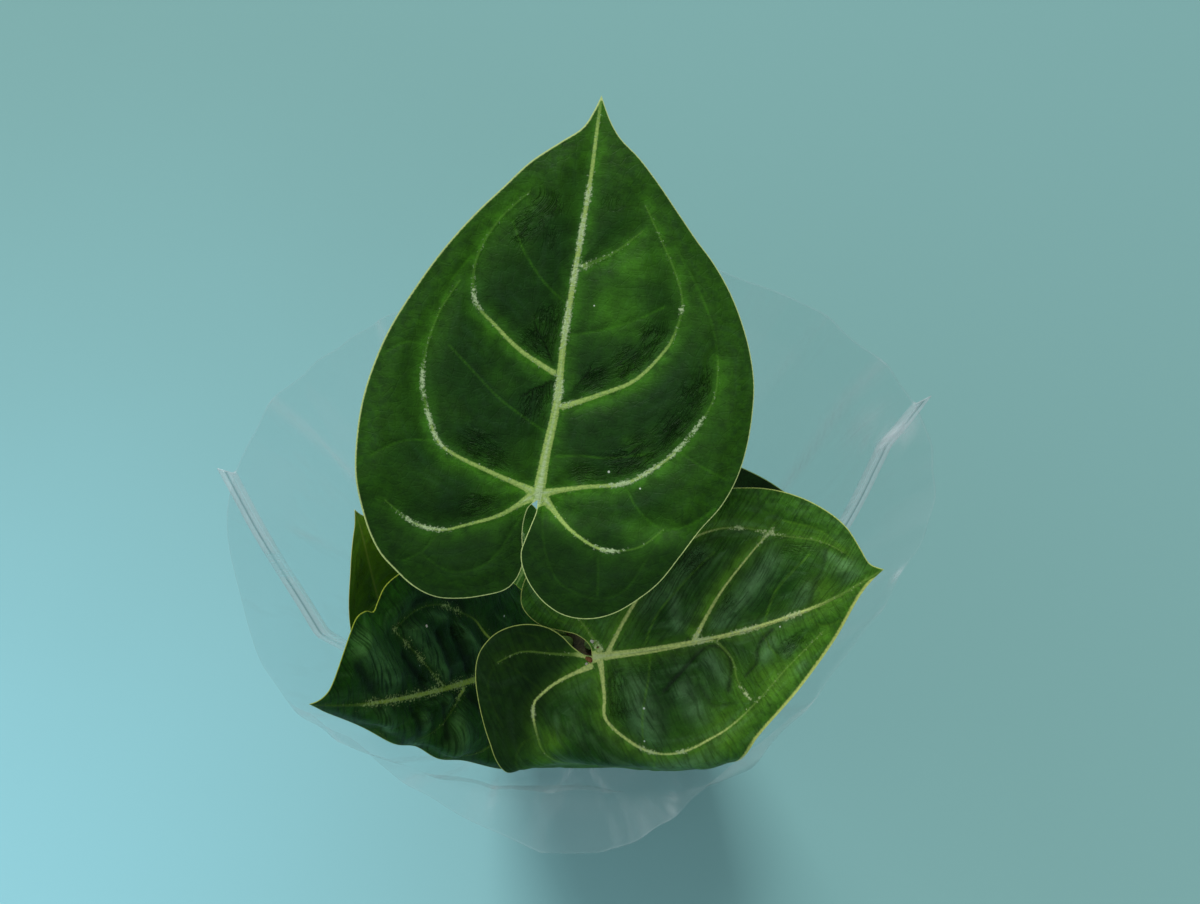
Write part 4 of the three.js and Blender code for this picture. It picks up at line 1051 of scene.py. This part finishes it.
# The two welded seams climb the sleeve: height and azimuth.
SEAM_LEFT = [(SLEEVE_BOTTOM, 203), (POT_HEIGHT, 203), (165, 200), (230, 195), (285, 181), (SLEEVE_TOP, 174)]
SEAM_RIGHT = [(SLEEVE_BOTTOM, -8), (POT_HEIGHT, -8), (165, -4), (230, 2), (285, 12), (SLEEVE_TOP, 17.5)]
SEAM_REACH = 5
SEAM_TIP = 5
FILM_SKIN = 0.22
# Soft folds of the film: azimuth and how it leans in degrees per 100 mm, half width and
# depth in mm, and the heights between which it shows.
FOLDS = [
    (214, 3, 5, 1.5, 120, 330), (226, -5, 4, 1.2, 150, 330), (238, 2, 6, 1.6, 90, 330),
    (251, 6, 3.5, 0.9, 170, 300), (263, -3, 5, 1.1, 60, 250), (279, 4, 6, 1.4, 110, 330),
    (293, -8, 4, 1.2, 130, 330), (306, 5, 5, 1.5, 90, 290), (322, -2, 6, 1.6, 120, 330),
    (337, 6, 4.5, 1.2, 140, 330), (352, -6, 4, 1, 60, 280), (24, 3, 6, 1.5, 100, 330),
    (41, -4, 5, 1.2, 90, 330), (60, 2, 7, 1.6, 110, 330), (79, 5, 5, 1.2, 60, 330),
    (98, -3, 6, 1.4, 120, 330), (117, 4, 6, 1.6, 90, 330), (139, -5, 5, 1.3, 100, 330),
    (158, 3, 6, 1.5, 110, 330), (176, 5, 4, 1, 60, 260), (189, -2, 4, 1, 90, 240),
]
# Spots of painted highlight on the film, by the tip of the side leaf and on the right seam: azimuth,
# height, half width and half height in mm.
PAINTED_HIGHLIGHTS = [(-11.6, 316, 2.6, 4), (19.5, 296, 3, 15), (15, 309, 2, 8)]


def film_radius(heights, azimuths):
    """The sleeve's outer radius, from its rings, at each height and azimuth."""
    rings = []
    for _, radii in SLEEVE_RINGS:
        around = np.array(radii, float)
        n = len(around)
        place = (azimuths / 360 % 1) * n
        k = np.floor(place).astype(int)
        t = place - k
        a, b, c, d = (around[(k + step) % n] for step in (-1, 0, 1, 2))
        rings.append(b + 0.5 * t * (c - a + t * (2 * a - 5 * b + 4 * c - d + t * (3 * (b - c) + d - a))))
    rings = np.array(rings)
    levels = np.array([z for z, _ in SLEEVE_RINGS], float)
    above = np.clip(np.searchsorted(levels, heights), 1, len(levels) - 1)
    share = np.clip((heights - levels[above - 1]) / (levels[above] - levels[above - 1]), 0, 1)
    which = np.arange(len(azimuths))
    return rings[above - 1, which] * (1 - share) + rings[above, which] * share


def turned_from(azimuths, centre):
    """How far azimuths lie from one of them, the short way round, in radians."""
    return np.radians((azimuths - centre + 180) % 360 - 180)


def folds(heights, azimuths):
    """How far the film stands out in soft upright folds, and the mask of a painted highlight along the
    crease of each.
    """
    out, crease = np.zeros(len(heights)), np.zeros(len(heights))
    for centre, lean, width, depth, low, high in FOLDS:
        reach = turned_from(azimuths, centre + lean * (heights - 250) / 100) * 90
        span = smooth(heights, low, low + 45) * (1 - smooth(heights, high - 12, high + 25))
        out += depth * bell(reach, width) * span
        crease = np.maximum(crease, bell(reach, 0.28 * width) * span * min(1, depth))
    return out, crease


def sleeve(material):
    """The clear sleeve: a thin closed film with two welded side seams and a free cut rim."""
    # Across a seam the outer face runs out along one side of the fin and back along the other.
    fin = [(-9, 0), (-4, 0), (-1.6, 0.1), (-0.5, 0.7), (-0.22, 1.8), (-0.2, 3.4), (-0.14, SEAM_REACH)]
    fin += [(-offset, out) for offset, out in fin[::-1]]
    heights = np.r_[SLEEVE_BOTTOM, SLEEVE_BOTTOM + 0.6, np.arange(SLEEVE_BOTTOM + 4, SLEEVE_TOP - 3, 4.0),
                    SLEEVE_TOP - 2.4, SLEEVE_TOP - 0.8, SLEEVE_TOP]
    per_half = 150
    points, marks = [], {"seam": [], "crease": [], "wear_and_highlight": [], "rim": [], "around": []}
    for z in heights:
        right, left = (np.interp(z, *zip(*seam)) for seam in (SEAM_RIGHT, SEAM_LEFT))
        azimuths, outs = [], []
        for seam, end in ((right, left), (left, right + 360)):
            radius = film_radius(np.array([z]), np.array([seam]))[0]
            clear = math.degrees(9 / radius)
            azimuths += [seam + math.degrees(offset / radius) for offset, _ in fin]
            azimuths += np.linspace(seam + clear, end - clear, per_half + 2)[1:-1].tolist()
            outs += [out for _, out in fin] + [0] * per_half
        azimuths, outs = np.array(azimuths), np.array(outs, float)
        high = np.full(len(azimuths), z)
        radius = film_radius(high, azimuths)
        from_seam = np.min([np.abs(turned_from(azimuths, seam)) * radius for seam in (left, right)], axis=0)
        stand, crease = folds(high, azimuths)
        calm = smooth(from_seam, 6, 16)
        # Spots of painted highlight.
        wear_and_highlight = np.zeros(len(azimuths))
        for centre, level, wide, tall in PAINTED_HIGHLIGHTS:
            reach = turned_from(azimuths, centre) * radius
            wear_and_highlight = np.maximum(wear_and_highlight, bell(reach, wide) * bell(z - level, tall))
        turn = np.radians(azimuths)
        ripple = np.sin(turn * 29 + 3 * np.sin(turn * 5)) * (0.5 + 0.5 * np.sin(turn * 3 + 1))
        ripple = ripple * 0.5 * smooth(high, SLEEVE_TOP - 35, SLEEVE_TOP)
        radius = radius + (stand + ripple) * calm
        tip = SEAM_TIP * smooth(z, SLEEVE_TOP - 12, SLEEVE_TOP) * smooth(outs, 1, SEAM_REACH)
        points += [ring(radius + outs, turn, high + tip), ring(radius - FILM_SKIN, turn, high)]
        for key, values in (
            ("seam", outs), ("crease", crease * calm), ("wear_and_highlight", wear_and_highlight), ("rim", SLEEVE_TOP - high),
            ("around", ring(1, turn, high / 900)),
        ):
            marks[key] += [values, values]
    count = len(azimuths)
    faces = bands(len(heights), count, 2 * count)
    faces += flipped(bands(len(heights), count, 2 * count, count) + bands(2, count))
    faces += bands(2, count, first=(len(heights) - 1) * 2 * count)
    box_low, box_high = (np.array(corner) / MM for corner in cad_box)
    mesh = mesh_of("film_sleeve", np.clip(np.vstack(points), box_low, box_high), faces, material)
    marked(mesh, {key: np.concatenate(values) for key, values in marks.items()})
    mesh.update()
    dressed(placed(mesh.name, mesh), "film", "sleeve")


# Making nodes and materials.
COLOUR = "NodeSocketColor"
NUMBER = "NodeSocketFloat"


def hue(text):
    """A colour written as on screen, as linear light."""
    shares = [int(text[k:k + 2], 16) / 255 for k in (1, 3, 5)]
    return (*[s / 12.92 if s <= 0.04045 else ((s + 0.055) / 1.055) ** 2.4 for s in shares], 1)


def feed(tree, socket, source):
    """Links a socket or a wire to a socket, or sets its value or its colour."""
    source = getattr(source, "socket", source)
    if isinstance(source, bpy.types.NodeSocket):
        tree.links.new(source, socket)
    else:
        socket.default_value = hue(source) if isinstance(source, str) else source


def new_node(tree, kind, sources=(), **settings):
    """A node with its settings, and its inputs fed in order or by name."""
    made = tree.nodes.new(kind)
    for label, value in settings.items():
        setattr(made, label, value)
    pairs = sources.items() if isinstance(sources, dict) else enumerate(sources)
    for key, source in pairs:
        feed(tree, made.inputs[key], source)
    return made


class Wire:
    """What a shader node puts out. Sums and products of wires make the nodes that work them out."""

    def __init__(self, tree, socket):
        self.tree = tree
        self.socket = socket

    def into(self, kind, sources, output=0, **settings):
        return Wire(self.tree, new_node(self.tree, kind, sources, **settings).outputs[output])

    def calc(self, operation, *others):
        return self.into("ShaderNodeMath", (self, *others), operation=operation)

    def __add__(self, other):
        return self.calc("ADD", other)

    def __sub__(self, other):
        return self.calc("SUBTRACT", other)

    def __mul__(self, other):
        return self.calc("MULTIPLY", other)

    def __rtruediv__(self, number):
        return self.into("ShaderNodeMath", (number, self), operation="DIVIDE")

    def most(self, other):
        return self.calc("MAXIMUM", other)

    def eased(self, low, high, start=0.0, end=1.0):
        """Eases from start to end as the value goes from low to high."""
        return self.into(
            "ShaderNodeMapRange", (self, low, high, start, end), interpolation_type="SMOOTHSTEP")

    def noise(self, scale, detail=2.0, roughness=0.5, distortion=0.0):
        given = {"Vector": self, "Scale": scale, "Detail": detail, "Roughness": roughness,
                 "Distortion": distortion}
        return self.into("ShaderNodeTexNoise", given, "Fac")

    def cells(self, scale, feature="F1"):
        given = {"Vector": self, "Scale": scale}
        return self.into("ShaderNodeTexVoronoi", given, "Distance", feature=feature)

    def stretched(self, *scale):
        return self.into("ShaderNodeVectorMath", (self, scale), operation="MULTIPLY")


def mixed(share, first, second, way="MIX"):
    """Two colours mixed by a share, of which one at least is a wire."""
    wire = next(source for source in (share, first, second) if isinstance(source, Wire))
    return wire.into("ShaderNodeMix", {0: share, 6: first, 7: second}, 2, data_type="RGBA", blend_type=way)


def reading(tree, name, output="Fac"):
    return Wire(tree, new_node(tree, "ShaderNodeAttribute", attribute_name=name).outputs[output])


def own_place(tree):
    return Wire(tree, tree.nodes.new("ShaderNodeTexCoord").outputs["Object"])


def paint_group(name, inputs):
    """A shader group with named inputs, which puts out a colour, a roughness and a height."""
    group = bpy.data.node_groups.new(name, "ShaderNodeTree")
    for label, value in inputs.items():
        kind, value = (COLOUR, hue(value)) if isinstance(value, str) else (NUMBER, value)
        group.interface.new_socket(label, in_out="INPUT", socket_type=kind).default_value = value
    for label, kind in (("Color", COLOUR), ("Roughness", NUMBER), ("Height", NUMBER)):
        group.interface.new_socket(label, in_out="OUTPUT", socket_type=kind)
    outputs = group.nodes.new("NodeGroupInput").outputs
    given = {socket.name: Wire(group, socket) for socket in outputs if socket.name in inputs}
    return group, given, group.nodes.new("NodeGroupOutput").inputs


def blade_paint():
    """The skin of a blade: panels, outer band, veins with scurf, twigs, margin, a painted sheen, and
    painted shade in its creases, grooves and lobes.
    """
    group, given, put = paint_group("Blade paint", {
        "Panel": "#173a0f", "Outer": "#254f0a", "Glow": "#427f14", "Vein": "#9ab560", "Crust": "#a9c49c",
        "Margin": "#97ab5c", "Painted Sheen": "#4c6a55", "Glow Share": 0.75, "Painted Sheen Share": 0.0, "Crust Share": 0.85,
        "Twig Share": 0.45, "Fuzz": 2.6, "Strokes": 0.15, "Dullness": 0.52,
    })
    margin_gap, vein_gap, twig_gap, pale, fresh_spots, satin, sunk, deep, crust, crumpled, glow, line = (
        reading(group, name) for name in (
            "margin_gap", "vein_gap", "twig_gap", "vein_pale", "fresh", "satin", "sunk", "deep", "crust",
            "crumpled", "glow", "margin_line"))
    plan = Wire(group, new_node(group, "ShaderNodeUVMap", uv_map="plan").outputs[0])
    mottle = plan.noise(22, 3)
    fine = plan.noise(120, 3, 0.6)
    flake = plan.noise(85, 3, 0.7)
    lines = plan.stretched(14, 110, 1).noise(1)

    # Dark panels, a greener outer band, fresh patches, and a glow beside the veins.
    outer = ((plan.noise(4.5) - 0.5) * 26 + (mottle - 0.5) * 12 + margin_gap).eased(25, 6)
    paint = mixed(outer, given["Panel"], given["Outer"])
    paint = mixed(plan.noise(38).eased(0.46, 0.6, 0.0, 0.45) * outer, paint, given["Panel"])
    paint = mixed(plan.noise(7).eased(0.48, 0.66, 0.0, 0.4), paint, given["Outer"])
    paint = mixed(fresh_spots * 0.55, paint, given["Glow"])
    glow = glow * mottle.eased(0.2, 0.6, 0.55, 1.0)
    paint = mixed(glow * given["Glow Share"], paint, given["Glow"])

    # A painted sheen in light streaks along the veins and on the pillows, thinned by fine strokes, then the
    # twigs and a mottled shade.
    vein_place = reading(group, "vein_place", "Vector")
    streaks = vein_place.stretched(0.045, 0.3, 1).noise(1, 3, 0.55)
    strokes = reading(group, "grain_place", "Vector").stretched(0.09, 0.8, 1).noise(1, 3, 0.6, 0.3)
    strokes = strokes.eased(0.46, 0.64) * given["Strokes"]
    silk = (satin * streaks.eased(0.3, 0.65, 0.45, 1.0)).most(streaks.eased(0.45, 0.75, 0.0, 0.5))
    silk = silk * given["Painted Sheen Share"] * strokes.eased(0.0, 1.0, 1.0, 0.35)
    paint = mixed(silk, paint, given["Painted Sheen"])
    twig = ((fine - 0.5) * 0.6 + twig_gap).eased(0.7, 0.05)
    paint = mixed(twig * given["Twig Share"], paint, given["Glow"])
    shade = mottle.eased(0.25, 0.75, 0.74, 1.2) * fine.eased(0.3, 0.7, 0.9, 1.1)
    grey = shade.into("ShaderNodeCombineColor", (shade, shade, shade))
    paint = mixed(1.0, paint, grey, "MULTIPLY")

    # Painted shade in the creases by the veins and in the sunk grooves, with fine dark strokes, and painted
    # shade on the part of a lobe that faces away from the light.
    creases = (vein_place.stretched(0.13, 0.5, 1).noise(1, 3, 0.65, 0.6) - 0.5).calc("ABSOLUTE")
    creases = creases.eased(0.1, 0.0) * crumpled
    # Painted shade in the creases and sunk grooves, and the dark strokes, towards a near black green.
    paint = mixed((creases * 0.2).most(strokes * 0.42).most(sunk * 0.72), paint, "#061008")
    # Painted shade over the lobes that face away from the light.
    paint = mixed(deep * 0.76, paint, "#06190c")

    # The veins with a paler core, and the scurf that lies on them in flakes.
    vein = ((fine - 0.5) * 0.7 + vein_gap).eased(0.25, -0.3) * pale.eased(0.2, 1.0, 0.4, 1.0)
    flecked = mixed(flake.eased(0.42, 0.66, 0.0, 0.5), given["Vein"], given["Glow"])
    core = vein_gap.eased(-0.5, -1.6) * lines.eased(0.3, 0.6, 0.3, 0.8)
    flecked = mixed(core, flecked, given["Crust"])
    paint = mixed(vein, paint, mixed(pale, given["Glow"], flecked))
    scurf = ((flake - 0.5) * 4.5 + crust).eased(0.3, 1.1)
    scurf = scurf * ((fine - 0.5) * given["Fuzz"] + vein_gap).eased(0.7, -0.1)
    scurf = scurf * vein_gap.eased(-1.0, -0.4, 0.25, 1.0) * given["Crust Share"]
    paint = mixed(scurf, paint, given["Crust"])

    # The pale margin, widened on some sides as a painted highlight, and a white speck here and there.
    paint = mixed((fine * 0.3 + line).eased(0.52, 0.28), paint, given["Margin"])
    dots = plan.cells(9)
    chance = dots.into("ShaderNodeSeparateColor", (dots.socket.node.outputs["Color"],))
    speck = dots.eased(0.045, 0.03) * chance.calc("GREATER_THAN", 0.75)
    paint = mixed(speck * 0.8, paint, "#e4ece0")

    net = plan.cells(30, "DISTANCE_TO_EDGE").eased(0.0, 0.09, 1, 0)
    height = plan.cells(130) * 0.04 + net * -0.05 + fine * 0.05 + lines * 0.04
    height = height + creases * -0.6 + strokes * -0.2 + scurf * 0.12
    feed(group, put["Color"], paint)
    feed(group, put["Roughness"],
         (mottle - 0.5) * 0.16 + given["Dullness"] + satin * -0.06 + deep * 0.4 + scurf * 0.25)
    feed(group, put["Height"], height)
    return group


def mottled():
    """Two colours in patches of one size with grains of another, in a piece's own place."""
    group, given, put = paint_group("Mottled", {
        "Light": "#8a6a48", "Dark": "#3a281b", "Dust": "#b5aa98", "Patch": 6.0, "Grain": 0.8,
        "Dust Share": 0.15, "Dullness": 0.8,
    })
    place = own_place(group)
    patches = place.noise(1000 / given["Patch"], 4, 0.6)
    grains = place.noise(1000 / given["Grain"], 3, 0.6)
    paint = mixed(patches.eased(0.35, 0.65), given["Dark"], given["Light"])
    paint = mixed(grains.eased(0.45, 0.75, 0.0, 0.5), paint, given["Dark"])
    dust = grains.eased(0.4, 0.25) * patches.eased(0.3, 0.6)
    feed(group, put["Color"], mixed(dust * given["Dust Share"], paint, given["Dust"]))
    feed(group, put["Roughness"], grains * 0.12 + given["Dullness"])
    feed(group, put["Height"], patches * 2 + grains)
    return group


def fresh(name, **constants):
    """A new material with a Principled shader and its constant sockets: the tree and the shader."""
    material = bpy.data.materials.new(name)
    material.use_nodes = True
    shader = material.node_tree.nodes["Principled BSDF"]
    for label, value in constants.items():
        shader.inputs[label.replace("_", " ")].default_value = value
    return material, material.node_tree, shader


def bumped(tree, shader, height, depth_mm):
    bump = new_node(tree, "ShaderNodeBump", {"Distance": depth_mm * MM, "Height": height})
    feed(tree, shader.inputs["Normal"], bump.outputs[0])


def painted_by(group, name, depth_mm, given, **constants):
    """A material whose colour, roughness and relief come from a group with its own values."""
    material, tree, shader = fresh(name, **constants)
    paint = new_node(tree, "ShaderNodeGroup", (), node_tree=group)
    for label, value in given.items():
        feed(tree, paint.inputs[label], value)
    feed(tree, shader.inputs["Base Color"], paint.outputs["Color"])
    feed(tree, shader.inputs["Roughness"], paint.outputs["Roughness"])
    bumped(tree, shader, paint.outputs["Height"], depth_mm)
    return material, tree, shader, Wire(tree, paint.outputs["Color"])


# The finishes of this plant, its mix, its pot and its film.
BLADE = blade_paint()
MOTTLED = mottled()


def mottled_material(name, light, dark, dust, patch, grain, dust_share, dullness, depth_mm, shine):
    """Three colours in patches and grains of sizes in millimetres, with a relief of some depth."""
    given = {"Light": light, "Dark": dark, "Dust": dust, "Patch": patch, "Grain": grain,
             "Dust Share": dust_share, "Dullness": dullness}
    return painted_by(MOTTLED, name, depth_mm, given, Specular_IOR_Level=shine)


def blade_material(name, velvet=0.02, gloss=0.13, tint="#8fae86", **given):
    return painted_by(
        BLADE, name, 1.0, given,
        Sheen_Weight=velvet, Sheen_Roughness=0.4, Sheen_Tint=hue(tint), Specular_IOR_Level=gloss)[0]


def stalk_material():
    """Round green stalks: lengthwise streaks, pale flecks and a paler knee."""
    material, tree, shader = fresh(
        "stalk skin", Specular_IOR_Level=0.45, Coat_Weight=0.08, Coat_Roughness=0.4)
    streak = reading(tree, "grain", "Vector").noise(1.6, 4, 0.65)
    fleck = own_place(tree).noise(900)
    paint = mixed(streak.eased(0.35, 0.65), "#3f5f24", "#6d8c3c")
    paint = mixed(fleck.eased(0.62, 0.74, 0.0, 0.7), paint, "#b9c58c")
    paint = mixed(reading(tree, "knee") * 0.55, paint, "#8fae55")
    feed(tree, shader.inputs["Base Color"], paint)
    feed(tree, shader.inputs["Roughness"], fleck.eased(0.3, 0.7, 0.42, 0.6))
    bumped(tree, shader, streak * 2.0 + fleck, 0.12)
    return material


def crown_material():
    """Corky stem below, torn papery sheaths above, their brown partly their own and partly painted shade.
    """
    material, tree, shader, cork = mottled_material(
        "stem and sheaths", "#474325", "#222415", "#84795a", 5.0, 1.0, 0.4, 0.7, 0.4, 0.3)
    fibre = reading(tree, "grain", "Vector").noise(2.2, 4, 0.7)
    # The sheaths' own brown, darkened as painted shade for the shade under the leaves.
    paper = mixed(fibre.eased(0.3, 0.7), "#261c10", "#57452b")
    feed(tree, shader.inputs["Base Color"], mixed(reading(tree, "sheath"), cork, paper))
    return material


def pot_material():
    """Thin moulded plastic: charcoal, scuffed in faint streaks, with dried splashes of mix."""
    material, tree, shader, skin = mottled_material(
        "moulded pot plastic", "#30322f", "#222422", "#8c7f6a", 24.0, 1.4, 0.35, 0.42, 0.06, 0.5)
    # Faint scuffed streaks of the plastic's own.
    wear_and_highlight = own_place(tree).stretched(60, 60, 420).noise(1, 3, 0.65)
    feed(tree, shader.inputs["Base Color"], mixed(wear_and_highlight.eased(0.62, 0.72, 0.0, 0.25), skin, "#777a74"))
    return material


def film_material():
    """Clear film: almost nothing face on; a white body mixed in gives painted highlights at its welds, cut
    rim, folds and a few spots, and a painted reflection towards grazing angles.
    """
    material, tree, shader = fresh("clear film", Roughness=0.13, Specular_IOR_Level=0.9, IOR=1.49)
    around = reading(tree, "around", "Vector")
    haze = around.noise(7, 3, 0.6)
    drag = around.stretched(9, 9, 2.2).noise(1, 4, 0.65, 0.4)
    rub = own_place(tree).noise(420, 3, 0.7)
    out = reading(tree, "seam")
    weld = out.eased(0.2, 0.7)
    pale = mixed(out.eased(2.2, 2.6) * out.eased(3.3, 2.9) * weld, "#f8fbff", "#a4b6b9")
    crease = reading(tree, "crease") * drag.eased(0.35, 0.62, 0.15, 1.0)
    highlight_spots = reading(tree, "wear_and_highlight") * drag.eased(0.35, 0.6, 0.3, 1.0)
    facing = Wire(tree, new_node(tree, "ShaderNodeLayerWeight", {"Blend": 0.32}).outputs["Facing"])
    # How much white body shows: the film's own faint haze and fine marks, then painted highlights along the
    # creases, at the spots, on the welds and by the cut rim, and a painted reflection towards grazing
    # angles.
    cover = haze.eased(0.5, 0.56) * 0.02 + 0.008 + rub.eased(0.62, 0.75) * 0.012 + crease * 0.16
    cover = cover + highlight_spots * 0.5 + weld * drag.eased(0.34, 0.62, 0.16, 0.46)
    cover = cover + reading(tree, "rim").eased(0.9, 0.2) * 0.06 + facing * 0.07
    clear = new_node(tree, "ShaderNodeBsdfTransparent", ((0.952, 0.968, 0.968, 1),)).outputs[0]
    through = new_node(tree, "ShaderNodeBsdfTranslucent", (pale,)).outputs[0]
    feed(tree, shader.inputs["Base Color"], pale)
    body = new_node(tree, "ShaderNodeMixShader", (0.5, shader.outputs[0], through)).outputs[0]
    blend = new_node(tree, "ShaderNodeMixShader", (cover.calc("MINIMUM", 0.9), clear, body)).outputs[0]
    feed(tree, tree.nodes["Material Output"].inputs["Surface"], blend)
    bumped(tree, shader, drag * 3.0 + haze, 0.9)
    return material


UNDERSIDE = {
    "Panel": "#56743f", "Outer": "#64834a", "Glow": "#7d9b59", "Vein": "#a3b47c", "Crust": "#a5a880",
    "Margin": "#98ab6a", "Painted Sheen": "#8fa57c", "Dullness": 0.66, "Crust Share": 0.3,
}
SKINS = {
    "leaf_1": {
        "Panel": "#16390c", "Crust": "#b3c99c", "Margin": "#b3c680", "Painted Sheen Share": 0.12,
        "Twig Share": 0.3, "gloss": 0.1,
    },
    "leaf_2": {
        "Panel": "#1b450d", "Outer": "#386a16", "Glow": "#5b8f22", "Vein": "#cbdb80", "Crust": "#c3d59a",
        "Margin": "#bccb6c", "Painted Sheen": "#5c8654", "Painted Sheen Share": 0.7, "Strokes": 0.6, "Dullness": 0.45,
        "velvet": 0.03, "gloss": 0.12, "tint": "#7fa070",
    },
    "leaf_3": {
        "Panel": "#0f3206", "Outer": "#1d470b", "Glow": "#3f660f", "Vein": "#93a83e", "Crust": "#a9bb74",
        "Margin": "#a4b23e", "Painted Sheen": "#46703a", "Glow Share": 0.35, "Painted Sheen Share": 0.9, "Twig Share": 0.15,
        "Fuzz": 12.0, "Strokes": 1.0, "Dullness": 0.55, "velvet": 0.0, "gloss": 0.07,
    },
    "leaf_4": {
        "Panel": "#527d08", "Outer": "#628c0c", "Glow": "#74981a", "Vein": "#8ea23a",
        "Margin": "#c9cb68", "Crust Share": 0.0, "Twig Share": 0.2,
    },
    "leaf_5": {
        "Panel": "#0a1a09", "Outer": "#0d220b", "Glow": "#1c3815", "Vein": "#456339", "Margin": "#6f8a48",
        "Glow Share": 0.4, "Crust Share": 0.3, "Dullness": 0.8, "velvet": 0.0, "gloss": 0.05,
    },
    "leaf_6": {
        "Panel": "#183a10", "Outer": "#234915", "Glow": "#386420", "Vein": "#6b8a48",
        "Crust Share": 0.3, "gloss": 0.07,
    },
}


# Dressing the frame.
underside = blade_material("blade underside", **UNDERSIDE)
blades = {}
for leaf in LEAVES:
    upper = blade_material(f"{leaf['name']} upper skin", **SKINS[leaf["name"]])
    blades[leaf["name"]] = blade(leaf, upper, underside)
stalk_skin = stalk_material()
for leaf in LEAVES:
    stalk(leaf, stalk_skin)
crown(crown_material())
pot(pot_material())
sleeve(film_material())

peat = mottled_material("potting mix", "#4d3523", "#1f150e", "#8a7a66", 4.0, 0.7, 0.3, 0.85, 0.5, 0.25)[0]
bark = mottled_material("bark chips", "#8b5a36", "#4a2c1a", "#b59a7a", 3.0, 0.5, 0.4, 0.8, 0.35, 0.3)[0]
grit = mottled_material("white grit", "#e9e6dd", "#c4beb0", "#8b7b66", 1.6, 0.4, 0.3, 0.85, 0.25, 0.3)[0]
soil(peat)

bits = scatter_tree()
strewn(
    "bark_chips", bits, soil_ring(20, 43),
    {"Density": 26000.0, "Spacing": 0.0052, "Length": 0.009, "Width": 0.62, "Thickness": 0.34,
     "Roughness": 0.5, "Tilt": 0.45, "Sink": 0.0004, "Seed": 3}, bark)
strewn(
    "white_grit", bits, soil_ring(18, 45),
    {"Density": 14000.0, "Spacing": 0.006, "Length": 0.0034, "Width": 0.9, "Thickness": 0.8,
     "Roughness": 0.35, "Tilt": 3.0, "Sink": 0.0012, "Seed": 8}, grit)


def crumbs_on_leaves(name, places, material):
    """Single rough crumbs, each pressed a little into the leaf on which it lies."""
    work = bmesh.new()
    for which, (leaf, (x, y), length, width) in enumerate(places):
        right, ahead, up = (Vector(row) for row in leaf_basis(leaf))
        skin = BVHTree.FromObject(blades[leaf["name"]], bpy.context.evaluated_depsgraph_get())
        above = Vector(leaf["at"]) + right * x + ahead * y + up * 15
        spot, normal = skin.ray_cast(above * MM, -up)[:2]
        first = len(work.verts)
        bmesh.ops.create_icosphere(work, subdivisions=3, radius=0.5)
        work.verts.ensure_lookup_table()
        turn = normal.to_track_quat("Z", "Y") @ Quaternion((0, 0, 1), which * 1.3)
        for vertex in work.verts[first:]:
            rough = 1 + 0.35 * noise.fractal(vertex.co * 3 + Vector((which * 5, 0, 0)), 1.0, 2.0, 3)
            stretch = Vector((length, width, width * 0.7)) * MM * rough
            vertex.co = spot + turn @ (vertex.co * stretch) + normal * width * 0.25 * MM
    mesh = mesh_of(name, [], [], material)
    work.to_mesh(mesh)
    work.free()
    dressed(placed(name, mesh), "soil")


side_leaf, dark_leaf = LEAVES[1], LEAVES[2]
crumbs_on_leaves("bark_crumb", [(side_leaf, (0.6, -1), 2.8, 1.6), (side_leaf, (-2.6, 3), 0.8, 0.6)], bark)
crumbs_on_leaves(
    "grit_crumbs", [(side_leaf, (-5, 1.8), 1.4, 1), (side_leaf, (1.6, -2.5), 1, 0.8),
                    (dark_leaf, (22.5, 64.7), 1, 0.9)], grit)

# The camera stands where the photograph was taken from.
camera = placed("camera", bpy.data.cameras.new("camera"))
camera.data.lens = 57
camera.data.sensor_width = 36
camera.location = Vector((8.6, -155.64, 930.96)) * MM
camera.rotation_euler = (math.radians(16), 0, 0)
bpy.context.scene.camera = camera


def lamp(name, azimuth, elevation, away, size, power, colour):
    """A square soft light, which faces the plant."""
    made = placed(name, bpy.data.lights.new(name, "AREA"))
    made.data.size = size
    made.data.energy = power
    made.data.color = colour
    turn, rise = math.radians(azimuth), math.radians(elevation)
    way = Vector((math.cos(turn) * math.cos(rise), math.sin(turn) * math.cos(rise), math.sin(rise)))
    made.location = Vector((0, 0, LAMP_AIM)) + way * away
    made.rotation_euler = way.to_track_quat("Z", "Y").to_euler()


lamp("window", 108, 40, 9, 2.9, 590, (1.0, 0.99, 0.96))
lamp("overhead", 195, 68, 1.9, 1.4, 6.5, (0.95, 0.98, 1.0))
lamp("low_fill", 290, 18, 2.2, 1.4, 3, (0.95, 0.98, 1.0))

pale_floor, tree, shader = fresh("pale floor", Roughness=0.85, Specular_IOR_Level=0.2)
place = own_place(tree)
# The floor is paler round a spot left of and in front of the pot and darker away from it, a painted pool of
# light, with a little random tone.
away = place.into("ShaderNodeVectorMath", (place, (-0.35, -0.2, 0)), "Value", operation="DISTANCE")
tone_and_light_falloff = place.noise(2.5, 3) * 0.14 + away
feed(tree, shader.inputs["Base Color"], mixed(tone_and_light_falloff.eased(0.05, 0.68), "#9ddce9", "#82b1b0"))
corners = [(x * FLOOR_REACH, y * FLOOR_REACH, 0) for x, y in ((-1, -1), (1, -1), (1, 1), (-1, 1))]
floor = placed("floor", mesh_of("floor", corners, [(0, 1, 2, 3)], pale_floor))

world = bpy.data.worlds.new("studio")
world.use_nodes = True
world.node_tree.nodes["Background"].inputs[0].default_value = (0.84, 0.93, 0.95, 1)
world.node_tree.nodes["Background"].inputs[1].default_value = 0.36
bpy.context.scene.world = world
bpy.context.scene.view_settings.view_transform = "Standard"
